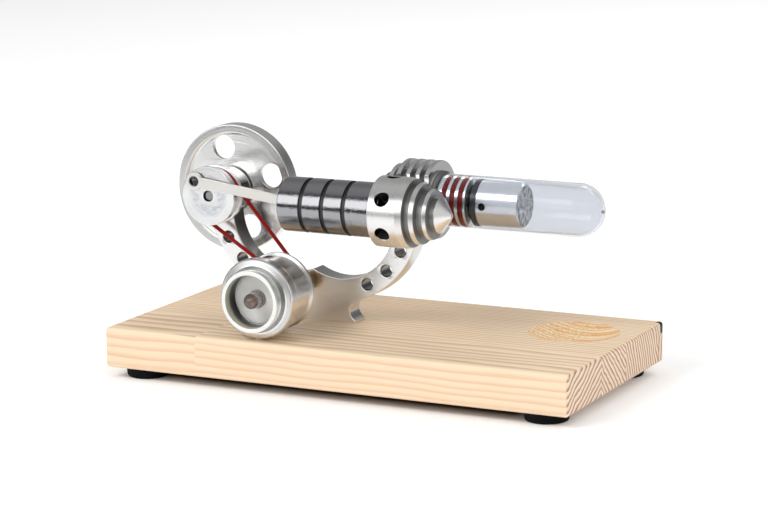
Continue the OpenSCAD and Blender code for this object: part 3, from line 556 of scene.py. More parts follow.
def around_axis(graph, axis, centre):
    """Distance from an axis, place along it, and the two distances across it in the order of AXES."""
    parts = graph.split(graph.place())
    a, b, along = [parts[i] for i in AXES[axis]]
    a, b = a - centre[0], b - centre[1]
    return (a * a + b * b) ** 0.5, along, a, b


def turning_marks(graph, radius, along, size):
    """The fine rings that a lathe leaves: noise of the distance from the axis and the place along it."""
    return graph.noise(graph.vector(radius, along, 0.0), size, 4.0, 0.7)


def turned_metal(graph, axis, centre, colour, rough, depth, ring=0.35, painted_shades=()):
    """Metal with turning marks, fine ones and wide faint ones, under a cloudy film.

    A shade is (inner radius, outer radius, low, high, tone): a ring of metal between two places along
    the axis whose colour is darkened and made rougher as painted shade, for holes, grooves, steps and dark
    reflections.
    """
    radius, along = around_axis(graph, axis, centre)[:2]
    marks = turning_marks(graph, radius, along, ring)
    slow = graph.noise(graph.vector(radius, along, 0.0), ring * 9, 2.0, 0.5)
    cloud = graph.noise(graph.place(), 6.0, 3.0, 0.6)
    fine = graph.noise(graph.place(), 0.25, 2.0, 0.6)
    tone = 0.95 + 0.07 * marks + 0.05 * (cloud - 0.5)
    rough = rough + 0.16 * (marks - 0.5) + 0.10 * (cloud - 0.5)
    for inner, outer, low, high, shade in painted_shades:
        inside = radius.above(inner) * radius.below(outer) * along.above(low) * along.below(high)
        tone = tone * (1 - (1 - shade) * inside)
        rough = rough + 0.3 * (1 - shade) * inside
    base = graph.tint(colour, tone)
    graph.finish(base_color=base, metallic=1.0, roughness=rough,
                 normal=graph.bump(marks * 0.6 + slow * 0.3 + fine * 0.1, depth))


def brushed_metal(graph, direction, colour, rough, depth):
    """Metal with straight scratches: noise that is stretched along one direction."""
    stretched = {"x": (0.04, 1.0, 1.0), "y": (1.0, 0.04, 1.0), "z": (1.0, 1.0, 0.04)}[direction]
    lines = graph.node("ShaderNodeVectorMath", {"operation": "MULTIPLY"}, {0: graph.place(), 1: stretched})
    marks = graph.noise(lines, 0.22, 3.0, 0.65)
    cloud = graph.noise(graph.place(), 5.0, 3.0, 0.6)
    base = graph.tint(colour, 0.94 + 0.08 * marks + 0.05 * (cloud - 0.5))
    rough = rough + 0.14 * (marks - 0.5) + 0.12 * (cloud - 0.5)
    graph.finish(base_color=base, metallic=1.0, roughness=rough, normal=graph.bump(marks, depth))


def cast_rubber(graph, colour, rough, grain, depth):
    """Rubber with a fine moulded grain."""
    bits = graph.noise(graph.place(), grain, 3.0, 0.6)
    cloud = graph.noise(graph.place(), 4.0, 2.0, 0.5)
    base = graph.tint(colour, 0.85 + 0.3 * cloud)
    graph.finish(base_color=base, roughness=rough + 0.15 * (bits - 0.5), specular_ior_level=0.15,
                 normal=graph.bump(bits, depth))


def moulded_plastic(graph, colour, rough):
    """Matt plastic with a faint mottle."""
    bits = graph.noise(graph.place(), 0.3, 3.0, 0.6)
    cloud = graph.noise(graph.place(), 3.0, 2.0, 0.5)
    base = graph.tint(colour, 0.95 + 0.1 * cloud)
    graph.finish(base_color=base, roughness=rough + 0.1 * (bits - 0.5), normal=graph.bump(bits, 0.004))


def clear_glass(graph, colour, ior):
    """Clear glass with faint waves from its drawing and a small dark mark at the middle of its end."""
    radius, along = around_axis(graph, *HOT_AXIS)[:2]
    waves = graph.noise(graph.place(), 9.0, 2.0, 0.5)
    haze = graph.noise(graph.place(), 2.5, 3.0, 0.6)
    mark = radius.below(0.6) * along.above(GLASS_HIGH[0] - 1.5)
    tint = graph.blend(mark, colour, (0.01, 0.01, 0.012))
    graph.finish(base_color=tint, roughness=0.01 + 0.02 * haze, transmission_weight=1.0, ior=ior,
                 normal=graph.bump(waves, 0.02))


def pine(graph):
    """Pine glued from strips: growth rings are planes whose lean changes from strip to strip.

    Ring number = (y cos lean + z sin lean + warp) / pitch. Its fraction runs from pale early wood to
    the dark line of late wood. Strips meet at the seams. A strip has a lean in degrees and a pitch.
    """
    seams, leans, pitches = (-13.2, 7.0, 35.6), (-60.0, 46.0, 24.0, -8.0), (2.0, 1.6, 1.7, 2.2)
    edges = (-60.0, *seams, 90.0)
    x, y, z = graph.split(graph.place())
    slow = graph.noise(graph.vector(x * 0.16, y, z), 9.0, 2.0, 0.5)
    wander = graph.noise(graph.vector(x * 0.05, y * 1.6, z * 1.6), 2.6, 2.0, 0.5)
    left_end = x.below(-46.9) * y.below(seams[0])
    rings = None
    for index, (low, high, lean, pitch) in enumerate(zip(edges, edges[1:], leans, pitches)):
        c, s = math.cos(math.radians(lean)), math.sin(math.radians(lean))
        inside = y.above(low) * (1 - y.above(high))
        number = (y * c + z * s + (slow - 0.5) * 3.2 + (wander - 0.5) * 0.25) / pitch + 7.3 * index
        rings = inside * number if rings is None else rings + inside * number
    rings = rings + left_end * (3.37 + (z - y) * 0.08)
    part = graph.math("FRACT", rings + 200.0)
    which = graph.math("FLOOR", rings + 200.0)
    strength = graph.noise(graph.vector(which * 3.1, which * 1.7, x * 0.01), 1.0, 1.0, 0.5)
    late = graph.grey_ramp(part, [(0.0, 0.06), (0.38, 0.10), (0.76, 0.9), (0.92, 1.0), (0.98, 0.10),
                                  (1.0, 0.06)])
    late = late * (0.56 + 0.78 * strength)
    fibre = graph.noise(graph.vector(x * 0.03, y, z), 0.22, 3.0, 0.6)
    pores = graph.noise(graph.vector(x * 0.08, y, z), 0.12, 2.0, 0.6)
    mottle = graph.noise(graph.vector(x * 0.3, y, z), 16.0, 3.0, 0.5)
    front = graph.ease(y, BOARD_LOW[1] + 0.5, BOARD_LOW[1] + 0.2)
    end = graph.ease(x, BOARD_HIGH[0] - 0.5, BOARD_HIGH[0] - 0.2)
    hollow_r = ((x - DISH[0]) ** 2.0 + (y - DISH[1]) ** 2.0) ** 0.5
    hollow = z.below(BOARD_TOP - 0.12) * hollow_r.below(DISH_R) * z.above(BOARD_TOP - 5.0)
    pale = graph.blend(mottle, (1.0, 0.86, 0.63), (0.96, 0.72, 0.49))
    speck = graph.noise(graph.vector(x * 0.5, y, z), 0.55, 3.0, 0.7)
    swirl = graph.math("SINE", rings * 2.3 + slow * 3.0)
    rough_side = graph.ease(x, DISH[0] + 5.0, DISH[0] - 4.0)
    swirl = 0.45 + 0.42 * swirl * (1 - 0.75 * rough_side) + (1.3 + 2.6 * rough_side) * (speck - 0.5)
    pale = graph.blend(end, pale, (1.0, 0.87, 0.68))
    pale = graph.blend(front, pale, (0.965, 0.765, 0.55))
    pale = graph.blend(hollow, pale, graph.blend(swirl, (1.0, 0.93, 0.66), (0.86, 0.44, 0.15)))
    dark = graph.blend(front, (0.42, 0.19, 0.09), (0.80, 0.48, 0.28))
    dark = graph.blend(end, dark, (0.46, 0.18, 0.09))
    dark = graph.blend(hollow, dark, (0.66, 0.27, 0.08))
    wood = graph.blend(late * (0.58 + 0.66 * end + 0.02 * front), pale, dark)
    wood = graph.blend(fibre * 0.22 * (1 - 0.6 * front), wood, (0.58, 0.39, 0.22))
    seam = None
    for place_y in seams:
        line = graph.math("ABSOLUTE", y - place_y).below(0.09)
        seam = line if seam is None else seam + line
    wood = graph.blend(seam * 0.35, wood, (0.42, 0.24, 0.12))
    knot_y, knot_z = y - 38.2, z - 15.4
    knot_size = ((knot_y * knot_y) * 0.55 + (knot_z * knot_z) * 0.16) ** 0.5 + (fibre - 0.5) * 0.4
    knot = knot_size.below(1.0) * x.above(78.4)
    wood = graph.blend(knot, wood, (0.030, 0.013, 0.009))
    graph.finish(base_color=wood, roughness=0.50 + 0.12 * (fibre - 0.5) - 0.08 * late,
                 normal=graph.bump(fibre * 0.5 + pores * 0.2 + late * 0.3, 0.035))


def lamp_resin(graph):
    """Tinted resin of the lamp's body, darker at its nose."""
    y = graph.split(graph.place())[1]
    swirl = graph.noise(graph.place(), 1.4, 2.0, 0.5)
    tint = graph.blend(swirl, (0.92, 0.88, 0.85), (0.82, 0.75, 0.71))
    nose = graph.ease(y, LAMP_LOW[1] + 2.6, LAMP_LOW[1] + 1.2)
    tint = graph.blend(nose * 0.85, tint, (0.30, 0.15, 0.11))
    graph.finish(base_color=tint, roughness=0.04 + 0.04 * swirl, transmission_weight=0.72, ior=1.5,
                 coat_weight=1.0, coat_roughness=0.03)


def can_metal(graph, end_x):
    """Bright drawn can whose flat end is dull: its radial mottle is noise of the angle about the axis."""
    radius, along, a, b = around_axis(graph, *HOT_AXIS)
    marks = turning_marks(graph, radius, along, 0.3)
    turn = graph.math("ARCTAN2", b, a)
    rays = graph.noise(graph.vector(turn * 1.7, radius * 0.25, 0.0), 0.7, 3.0, 0.65)
    mottle = graph.noise(graph.place(), 1.5, 4.0, 0.7)
    end = graph.ease(along, end_x - 0.35, end_x - 0.1)
    # Painted shade: the can's inside surfaces are darkened nearly to black.
    inside = radius.below(6.9) * along.below(end_x - 1.0)
    dull = graph.grey_ramp(rays, [(0.34, 0.26), (0.68, 0.95)]) * (2.1 * mottle - 0.15)
    tone = (1 - end) * (0.92 + 0.1 * marks) + end * dull
    base = graph.tint((0.85, 0.85, 0.85), tone * (1 - 0.96 * inside))
    graph.finish(base_color=base, metallic=1.0, roughness=0.22 + 0.10 * (marks - 0.5) + 0.20 * end,
                 normal=graph.bump(marks * (1 - end) * 0.3 + mottle * end * 0.7, 0.02))


def bezel_metal(graph, front_y, depth):
    """Turned bezel whose bore is darkened with painted shade over its reach towards the lamp holder."""
    bore_r, reach = 8.55, 6.0
    radius, along = around_axis(graph, *GENERATOR_AXIS)[:2]
    marks = turning_marks(graph, radius, along, 0.3)
    cloud = graph.noise(graph.place(), 5.0, 3.0, 0.6)
    bore = radius.below(bore_r)
    depth_shade = graph.ramp((along - front_y) * (1 / reach),
                      [(0.0, (0.78, 0.76, 0.64)), (0.30, (0.58, 0.57, 0.45)),
                       (0.52, (0.09, 0.09, 0.08)), (1.0, (0.03, 0.03, 0.03))])
    colour = graph.blend(bore, (0.90, 0.90, 0.88), depth_shade)
    base = graph.tint(colour, 0.94 + 0.08 * marks + 0.05 * (cloud - 0.5))
    graph.finish(base_color=base, metallic=1.0, roughness=0.20 + 0.12 * (marks - 0.5) + 0.18 * bore,
                 normal=graph.bump(marks, depth))


def default_material(slot):
    """The finish of a record slot, for small CAD nodes that keep their own mesh."""
    builders = {
        "pine": (pine,),
        "rubber": (cast_rubber, (0.0025, 0.0025, 0.0025), 0.75, 0.3, 0.02),
        "plate_aluminium": (brushed_metal, "x", ALUMINIUM, 0.30, 0.008),
        "turned_aluminium": (brushed_metal, "x", ALUMINIUM, 0.26, 0.008),
        "bright_steel": (brushed_metal, "x", STEEL, 0.18, 0.004),
        "satin_steel": (brushed_metal, "x", (0.82, 0.80, 0.76), 0.42, 0.008),
        "dark_steel": (brushed_metal, "z", DARK, 0.38, 0.006),
        "dark_chrome": (turned_metal, *POWER_AXIS, (0.50, 0.50, 0.52), 0.13, 0.006),
        "brass": (turned_metal, *HOT_AXIS, BRASS, 0.25, 0.008),
        "red_rubber": (cast_rubber, (0.27, 0.007, 0.006), 0.42, 0.4, 0.01),
        "clear_glass": (clear_glass, (0.775, 0.795, 0.83), 1.24),
        "white_plastic": (moulded_plastic, (0.90, 0.89, 0.86), 0.45),
        "lamp_resin": (lamp_resin,),
    }
    return material(slot, *builders[slot])


def dress(obj, nodes, paint=None):
    """Gives a piece its finish, the body it rides on and the CAD nodes it stands for."""
    obj.data.materials.clear()
    obj.data.materials.append(paint or default_material(SLOT_OF[nodes[0]]))
    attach(obj, BODY_OF[nodes[0]])
    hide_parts(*nodes)


def turned_piece(name, node, axis, profile, paint=None, closed=False, soft=0.12, steps=144):
    """A piece that is turned about one axis and stands for one CAD node."""
    dress(make_object(name, turned(*axis, profile, closed, soft, steps)), [node], paint)


def plain_bar(name, node, axis, r, edges, paint=None, steps=64):
    """A round bar as long as its CAD node, whose two ends are softened."""
    low, high = span(node)
    along = AXES[axis[0]][2]
    profile = [(0, low[along]), (r, low[along], edges[0]), (r, high[along], edges[1]), (0, high[along])]
    turned_piece(name, node, axis, profile, paint, steps=steps)


# The board and its feet

def rounded_rectangle(low, high, radius):
    """Outline of a rectangle with round corners, turning left."""
    corners = [(high[0] - radius, high[1] - radius, 0), (low[0] + radius, high[1] - radius, 90),
               (low[0] + radius, low[1] + radius, 180), (high[0] - radius, low[1] + radius, 270)]
    return np.concatenate([arc(x, y, radius, a, a + 90, 7) for x, y, a in corners])


def board():
    """The board: a plate with softened edges, whose top opens into a ball-shaped hollow.

    The hollow's profile is ball (sin a, 1 - cos a) above its lowest point, a from 0 to past the rim.
    """
    edge, pocket_r, pocket_depth, screw_in, past_rim = 1.0, 3.1, 2.7, 2.8, 1.5
    outline = rounded_rectangle(BOARD_LOW, BOARD_HIGH, edge)
    obj = make_object("board", plate("z", [outline], BOARD_LOW[2], BOARD_HIGH[2], edge, steps=6))
    ball = (DISH_R ** 2 + DISH_DEPTH ** 2) / (2 * DISH_DEPTH)
    angle = np.linspace(0, math.asin((DISH_R + past_rim) / ball), 26)
    bowl = [(ball * math.sin(a), BOARD_TOP + ball - DISH_DEPTH - ball * math.cos(a)) for a in angle]
    above = BOARD_TOP + 3
    cutters = [turned("z", DISH, bowl + [(bowl[-1][0], above), (0, above)], soft=0)]
    low, high = span("frame_screws")
    pockets = [(low[0] + screw_in, 0.0), (high[0] - screw_in, 0.0), middle("generator_screw")[:2]]
    cutters += [bar("z", c, BOARD_LOW[2] - 1, BOARD_LOW[2] + pocket_depth, pocket_r) for c in pockets]
    carve(obj, *cutters)
    dress(obj, ["base_board"])


def feet():
    """Four rubber feet with a sunk middle for the screw."""
    low, high = span("rubber_feet")
    r, taper, well_r, hole_r, seat, top = 7.2, 0.5, 2.9, 1.25, 2.3, high[2] - 0.05
    profile = [(hole_r, seat), (well_r, seat, 0.2), (well_r, 0, 0.4), (r - taper, 0, 0.9),
               (r, top, 0.2), (hole_r, top)]
    centres = [(x, y) for x in (low[0] + r, high[0] - r) for y in (low[1] + r, high[1] - r)]
    shapes = [turned("z", c, profile, closed=True, steps=96) for c in centres]
    dress(make_object("feet", join(*shapes)), ["rubber_feet"])


# The frame plate

def cross(c0, r0, c1, r1, side):
    """The point where two circles cross, on the left or right of the line between their centres."""
    (x0, y0), (x1, y1) = c0, c1
    d = math.hypot(x1 - x0, y1 - y0)
    a = (r0 ** 2 - r1 ** 2 + d ** 2) / (2 * d)
    h = side * math.sqrt(r0 ** 2 - a ** 2)
    ux, uy = (x1 - x0) / d, (y1 - y0) / d
    return x0 + a * ux - h * uy, y0 + a * uy + h * ux


def heading(centre, point):
    """The direction from a centre to a point, in degrees."""
    return math.degrees(math.atan2(point[1] - centre[1], point[0] - centre[0]))


def plate_metal(graph, holes, hole_r, bay_x, bay_z, bay_r):
    """Brushed plate whose drilled holes, edge faces and bay between the arms are darkened as painted shade.

    The bay's edge is where the distance from the middle of each arm's inner arc is no more than its radius.
    """
    face, near = 0.25, 0.05
    x, y, z = graph.split(graph.place())
    marks = graph.noise(graph.vector(x * 0.04, y, z), 0.22, 3.0, 0.65)
    cloud = graph.noise(graph.place(), 5.0, 3.0, 0.6)
    inside = 0.0
    for hole_x, hole_z in holes:
        a, b = x - hole_x, z - hole_z
        inside = (a * a + b * b).below((hole_r + near) ** 2) + inside
    edge = y.above(PLATE_LOW[1] + face) * y.below(PLATE_HIGH[1] - face)
    off_x, off_z = graph.math("ABSOLUTE", x - FRAME_X) - bay_x, z - bay_z
    bay_shade = (off_x * off_x + off_z * off_z).below((bay_r + near) ** 2) * edge
    depth_shade = graph.ease(z, bay_z - bay_r, bay_z - 0.3 * bay_r, 0.62, 0.22)
    # Painted shade: holes and edge faces darken the tone, and the bay's inner edges darken more towards the
    # top.
    tone = (0.94 + 0.08 * marks + 0.05 * (cloud - 0.5)) * (1 - 0.62 * inside) * (1 - 0.14 * edge)
    base = graph.tint(ALUMINIUM, tone * (1 - bay_shade * (1 - depth_shade)))
    graph.finish(base_color=base, metallic=1.0, roughness=0.25 + 0.10 * (marks - 0.5) - 0.10 * edge,
                 normal=graph.bump(marks, 0.006))


def frame_plate():
    """The plate's outline: half of it is arcs joined at their crossings, the other half its mirror image."""
    head_r = 7.5
    out_c, out_r, in_c, in_r = (6.5, AXIS_Z - 1.2), 31.9, (9.5, AXIS_Z - 5.4), 19.6
    half_w, bite_c, bite_r = 14.9, (16.4, BOARD_TOP + 4.3), 3.5
    hole_ring, hole_angles, hole_r, bearing_r, bevel = 28.0, (28.4, 45.7, 63.0), 2.0, 4.0, 0.3
    head_c = (HEAD_REACH, AXIS_Z)
    rise = math.sqrt(bite_r ** 2 - (bite_c[0] - half_w) ** 2)
    opening = heading((0, 0), (bite_c[0] - half_w, rise))
    bite = arc(*bite_c, bite_r, 180 + opening, 180 - opening, 22)
    start_out = (half_w, out_c[1] - math.sqrt(out_r ** 2 - (half_w - out_c[0]) ** 2))
    join_out = cross(out_c, out_r, head_c, head_r, -1)
    join_in = cross(in_c, in_r, head_c, head_r, -1)
    outer = arc(*out_c, out_r, heading(out_c, start_out), heading(out_c, join_out), 60)
    head = arc(*head_c, head_r, heading(head_c, join_out), heading(head_c, join_in) % 360, 48)
    cusp = (0.0, in_c[1] - math.sqrt(in_r ** 2 - in_c[0] ** 2))
    inner = arc(*in_c, in_r, heading(in_c, join_in), heading(in_c, cusp), 60)
    half = np.concatenate([[(half_w, BOARD_TOP)], bite, outer, head[1:-1], inner])
    mirrored = (half * [-1, 1])[::-1][1:]
    outline = np.concatenate([half, mirrored]) + [FRAME_X, 0]
    holes = [(FRAME_X + side * (out_c[0] + hole_ring * math.cos(math.radians(a))),
              out_c[1] - hole_ring * math.sin(math.radians(a))) for side in (-1, 1) for a in hole_angles]
    loops = [outline] + [circle(x, z, hole_r, 40)[::-1] for x, z in holes]
    loops.append(circle(FRAME_X - HEAD_REACH, AXIS_Z, bearing_r, 64)[::-1])
    obj = make_object("frame", plate("y", loops, PLATE_LOW[1], PLATE_HIGH[1], bevel))
    crisp(obj)
    dress(obj, ["frame_plate"], material("plate_metal", plate_metal, holes, hole_r, *in_c, in_r))


# The crankshaft side

def crank_pin():
    """Place of the power side's crank pin at rest: height, then place across."""
    return middle("crank_pin_screw")[[2, 0]]


def crankshaft():
    """The shaft: a plain bar with eased ends."""
    paint = material("shaft_steel", turned_metal, *CRANK_AXIS, (0.36, 0.36, 0.37), 0.3, 0.006)
    plain_bar("shaft", "crankshaft", CRANK_AXIS, (SHAFT_HIGH[0] - SHAFT_LOW[0]) / 2, (0.35, 0.25), paint)


def disc_metal(graph, front_y):
    """Faced metal: close turning marks, a dull bluish band round the middle and a countersink darkened as
    painted shade.
    """
    sink_r, sink_depth = 1.82, 1.2
    radius, along, up, across = around_axis(graph, *CRANK_AXIS)
    marks = turning_marks(graph, radius, along, 0.2)
    mottle = graph.noise(graph.vector(across * 0.45, along, up), 1.1, 4.0, 0.65)
    ring = graph.ease(radius, 2.6, 4.0) * graph.ease(radius, 5.6, 7.2, 1.0, 0.0)
    band = ring * graph.grey_ramp(mottle, [(0.38, 0), (0.62, 1)])
    colour = graph.blend(band * 0.65, (0.91, 0.915, 0.92), (0.52, 0.57, 0.64))
    countersink_shade = radius.below(sink_r) * along.below(front_y + sink_depth)
    base = graph.tint(colour, (0.94 + 0.08 * marks) * (1 - 0.93 * countersink_shade))
    graph.finish(base_color=base, metallic=1.0, roughness=0.22 + 0.14 * (marks - 0.5) + 0.1 * band,
                 normal=graph.bump(marks, 0.045))


def pin_metal(graph):
    """Screw end: dark as painted shade, with small painted bright glints."""
    bits = graph.noise(graph.place(), 0.55, 3.0, 0.6)
    painted_glints = graph.ramp(bits, [(0.50, (0.02, 0.02, 0.022)), (0.60, (0.10, 0.10, 0.11)),
                              (0.66, (0.85, 0.85, 0.86))])
    graph.finish(base_color=painted_glints, metallic=1.0, roughness=0.30 + 0.1 * (bits - 0.5),
                 normal=graph.bump(bits, 0.10))


def crank_disc():
    """The crank disc with its belt groove and the bored hole for its pin."""
    r, y0, y1 = (DISC_HIGH[0] - DISC_LOW[0]) / 2, DISC_LOW[1], DISC_HIGH[1]
    floor_r, bore, sink, pin_r, pin_depth = 7.9, 1.55, 0.25, 1.0, 3
    profile = [(bore, y0 + 0.45, 0.05), (bore + sink, y0, 0.08), (r, y0, 0.3)]
    profile += groove(r, floor_r, BELT_Y - GROOVE_HALF, BELT_Y + GROOVE_HALF, GROOVE_LEAN, 0.15, 0.2)
    profile += [(r, y1, 0.2), (bore, y1)]
    lathe = (*CRANK_AXIS, profile, True)
    obj = make_object("crank_disc_turned", turned(*lathe, steps=192))
    carve(obj, bar("y", crank_pin(), y0 - 1, y0 + pin_depth, pin_r, 32), lathe=lathe)
    dress(obj, ["crank_disc"], material("disc_face", disc_metal, y0))


def flywheel():
    """Rim, web with four holes and stepped hub."""
    r, rim_r, ledge_r, hub_r, root_r, step_r, bore = 21.0, 18.4, 17.8, 8.0, 8.4, 6.6, 1.55
    y0, y1 = WHEEL_LOW[1], WHEEL_HIGH[1]
    step_y, rim_y, web_y0, web_y1 = y0 + 0.6, y0 + 1.6, y0 + 3.6, y0 + 5.2
    hole_r, hole_ring, first_hole = 4.0, 13.7, 109.6
    rim = [(rim_r, rim_y, 0.25), (r, rim_y, 0.4), (r, y1, 0.4), (rim_r, y1, 0.25), (rim_r, web_y1, 0.3),
           (ledge_r, web_y1, 0.1), (ledge_r, web_y0, 0.1), (rim_r, web_y0, 0.3)]
    hub = [(bore, y0, 0.15), (step_r, y0, 0.25), (step_r, step_y, 0.1), (hub_r, step_y, 0.3),
           (hub_r, web_y0, 0.2), (root_r, web_y0 + 0.1, 0.1), (root_r, web_y1 - 0.1, 0.1),
           (hub_r, web_y1, 0.2), (hub_r, y1, 0.4), (bore, y1, 0.15)]
    loops = [circle(SHAFT_X, AXIS_Z, rim_r - 0.3, 192), circle(SHAFT_X, AXIS_Z, hub_r - 0.5, 96)[::-1]]
    for quarter in range(4):
        a = math.radians(first_hole - 90 * quarter)
        x, z = SHAFT_X + hole_ring * math.cos(a), AXIS_Z + hole_ring * math.sin(a)
        loops.append(circle(x, z, hole_r, 72)[::-1])
    web = make_object("flywheel_web", plate("y", loops, web_y0, web_y1, 0.18))
    crisp(web)
    # Painted shade: the rim's front face is darkened.
    painted_shades = [(rim_r + 0.25, r - 0.3, rim_y - 0.1, rim_y + 0.3, 0.72)]
    paint = material("wheel_turned", turned_metal, *CRANK_AXIS, ALUMINIUM, 0.13, 0.085, 0.2, painted_shades)
    dress(web, ["flywheel"], paint)
    turned_piece("flywheel_rim", "flywheel", CRANK_AXIS, rim, paint, closed=True, steps=256)
    turned_piece("flywheel_hub", "flywheel", CRANK_AXIS, hub, paint, closed=True, steps=128)


def belt_path():
    """Centre line of the belt: two arcs about the disc and the pulley, joined by their outer tangents."""
    disc_r, pulley_r = SHAFT_X - BELT_LOW[0] - 0.65, 2.7
    dx, dz = GEN_X - SHAFT_X, GEN_Z - AXIS_Z
    aim, wrap = math.atan2(dz, dx), math.acos((disc_r - pulley_r) / math.hypot(dx, dz))

    def bend(x, z, r, start, end, steps):
        u = np.linspace(start, end, steps)
        return np.stack([x + r * np.cos(u), np.full(steps, BELT_Y), z + r * np.sin(u)], 1)

    a = bend(SHAFT_X, AXIS_Z, disc_r, aim + wrap, aim + 2 * math.pi - wrap, 90)
    b = bend(GEN_X, GEN_Z, pulley_r, aim - wrap, aim + wrap, 40)
    s = np.linspace(0, 1, 30)[1:-1, None]
    return np.concatenate([a, a[-1] + (b[0] - a[-1]) * s, b, b[-1] + (a[0] - b[-1]) * s])


def belt():
    """The round belt."""
    section_r = 0.64
    dress(make_object("belt", tube(belt_path(), section_r)), ["drive_belt"])


def flat_rod(name, node, start, end, height, eyes, holes, paint):
    """A flat bar with two round eyes, drawn flat and then turned so that it runs from start to end.

    Both ends are (height, place across), the order of the crank's axis.
    """
    low, high = span(node)
    run, rise = end[1] - start[1], end[0] - start[0]
    length = math.hypot(run, rise)
    a, b = [math.degrees(math.asin(height / 2 / eye)) for eye in eyes]
    outline = np.concatenate([arc(0, 0, eyes[0], a, 360 - a, 40),
                              arc(length, 0, eyes[1], b - 180, 180 - b, 40)])
    loops = [outline, circle(0, 0, holes[0], 32)[::-1], circle(length, 0, holes[1], 32)[::-1]]
    flat = plate("y", loops, low[1], high[1], 0.12)
    obj = make_object(name, swing(flat, "y", math.atan2(-rise, run), (start[1], 0, start[0])))
    crisp(obj)
    dress(obj, [node], paint)


def rods():
    """Connecting rod and displacer link, and the crank pin screw with its recessed head."""
    satin = material("rod_satin", brushed_metal, "x", (0.88, 0.86, 0.82), 0.44, 0.008)
    wrist, clevis = (AXIS_Z, middle("wrist_pin")[0]), (AXIS_Z, middle("clevis_pin")[0])
    link_pin = middle("link_pin_screw")[[2, 0]]
    flat_rod("connecting_rod", "power_rod", crank_pin(), wrist, 3.1, (2.8, 2.8), (1.72, 1.05), satin)
    flat_rod("link", "displacer_link", link_pin, clevis, 2.6, (2.3, 2.0), (1.02, 0.85), satin)
    low, high = span("crank_pin_screw")
    head_r, lip_r, well_r, floor_r, shank_r = 1.66, 1.45, 1.15, 0.9, 1.0
    y0, y1 = low[1] + 0.1, high[1]
    under_head = y0 + 0.5
    profile = [(0, y0 + 0.75), (floor_r, y0 + 0.7, 0.1), (well_r, y0 + 0.12, 0.1), (lip_r, y0, 0.1),
               (head_r, y0 + 0.1, 0.1), (head_r, under_head, 0.05), (shank_r, under_head, 0.05),
               (shank_r, y1, 0.1), (0, y1)]
    turned_piece("pin_screw", "crank_pin_screw", ("y", crank_pin()), profile,
                 material("pin_metal", pin_metal), steps=48)


# The power side

def power_cylinder():
    """The sleeve with three grooves."""
    x0, x1, r, bore = SLEEVE_LOW[0], SLEEVE_HIGH[0], SLEEVE_R, 7.0
    step, width, floor_r, lean = 7.55, 1.5, SLEEVE_R - 0.5, 0.1
    profile = [(bore, x0, 0.15), (r, x0, 0.4)]
    for i in (1, 2, 3):
        profile += groove(r, floor_r, x0 + i * step, x0 + i * step + width, lean)
    profile += [(r, x1, 0.1), (bore, x1, 0.1)]
    turned_piece("cylinder", "power_cylinder", POWER_AXIS, profile, material("honed_tube", honed_tube),
                 closed=True, steps=160)


def honed_tube(graph):
    """Dark bright tube: fine marks round it and a slight ripple that breaks up its reflections."""
    radius, along = around_axis(graph, *POWER_AXIS)[:2]
    marks = turning_marks(graph, radius, along, 0.22)
    ripple = graph.noise(graph.place(), 0.9, 3.0, 0.65)
    # Painted shade: the grooves are darkened nearly to black and made rougher.
    groove = radius.below(SLEEVE_R - 0.12)
    colour = graph.blend(groove, (0.37, 0.37, 0.385), (0.070, 0.073, 0.075))
    rough = 0.12 + 0.10 * (marks - 0.5) + 0.06 * (ripple - 0.5) + 0.30 * groove
    graph.finish(base_color=graph.tint(colour, 0.9 + 0.15 * marks), metallic=1.0, roughness=rough,
                 normal=graph.bump(marks * 0.3 + ripple * 0.7, 0.075))


def power_cap():
    """The cone-ended cap, cut flat where it sits on the plate, with four cross holes.

    Its outline is given in shares: of the cap's length along the axis, and of its radius.
    """
    x0, x1, r = CAP_LOW[0], CAP_HIGH[0], (CAP_HIGH[2] - CAP_LOW[2]) / 2
    length, seat_r, seat_depth, hole_r, hole_floor = x1 - x0, 8.77, 2.5, 2.5, 5.7
    shares = [(0, 0.97), (0.012, 1), (0.4, 1), (0.486, 0.955), (0.486, 0.768), (0.564, 0.768),
              (0.564, 0.875), (0.626, 0.84), (0.626, 0.616), (0.72, 0.616), (0.72, 0.724), (0.77, 0.688),
              (0.77, 0.438), (0.843, 0.438), (0.843, 0.527), (0.985, 0.11), (1, 0.07)]
    profile = [(0, x0 + seat_depth), (seat_r, x0 + seat_depth), (seat_r, x0)]
    profile += [(b * r, x0 + a * length, 0.16) for a, b in shares] + [(0, x1)]
    lathe = (*POWER_AXIS, profile)
    obj = make_object("cap", turned(*lathe, steps=192))
    flat = block((x0 - 1, PLATE_LOW[1], AXIS_Z - r - 1), (x1 + 1, PLATE_LOW[1] + 9, AXIS_Z + r + 1))
    hole = bar("z", (0, 0), hole_floor, r + 2, hole_r)
    place = (FRAME_X + HEAD_REACH, POWER_Y, AXIS_Z)
    holes = [swing(hole, "x", math.radians(angle), place) for angle in (0, 60, 120, 180)]
    carve(obj, flat, *holes, lathe=lathe)
    # Painted shade: the cross holes and the recesses of the cap's first part are darkened nearly to black,
    # its grooves to under half.
    groove_shares, groove_shade, hole_shade = ((0.484, 0.566), (0.624, 0.722), (0.768, 0.845)), 0.45, 0.035
    painted_shades = [(0, r - 0.3, x0 - 1, x0 + 0.4 * length, hole_shade)]
    painted_shades += [(0, r, x0 + a * length, x0 + b * length, groove_shade) for a, b in groove_shares]
    dress(obj, ["power_cap"],
          material("cap_turned", turned_metal, *POWER_AXIS, ALUMINIUM, 0.29, 0.012, 0.3, painted_shades))


# The hot side

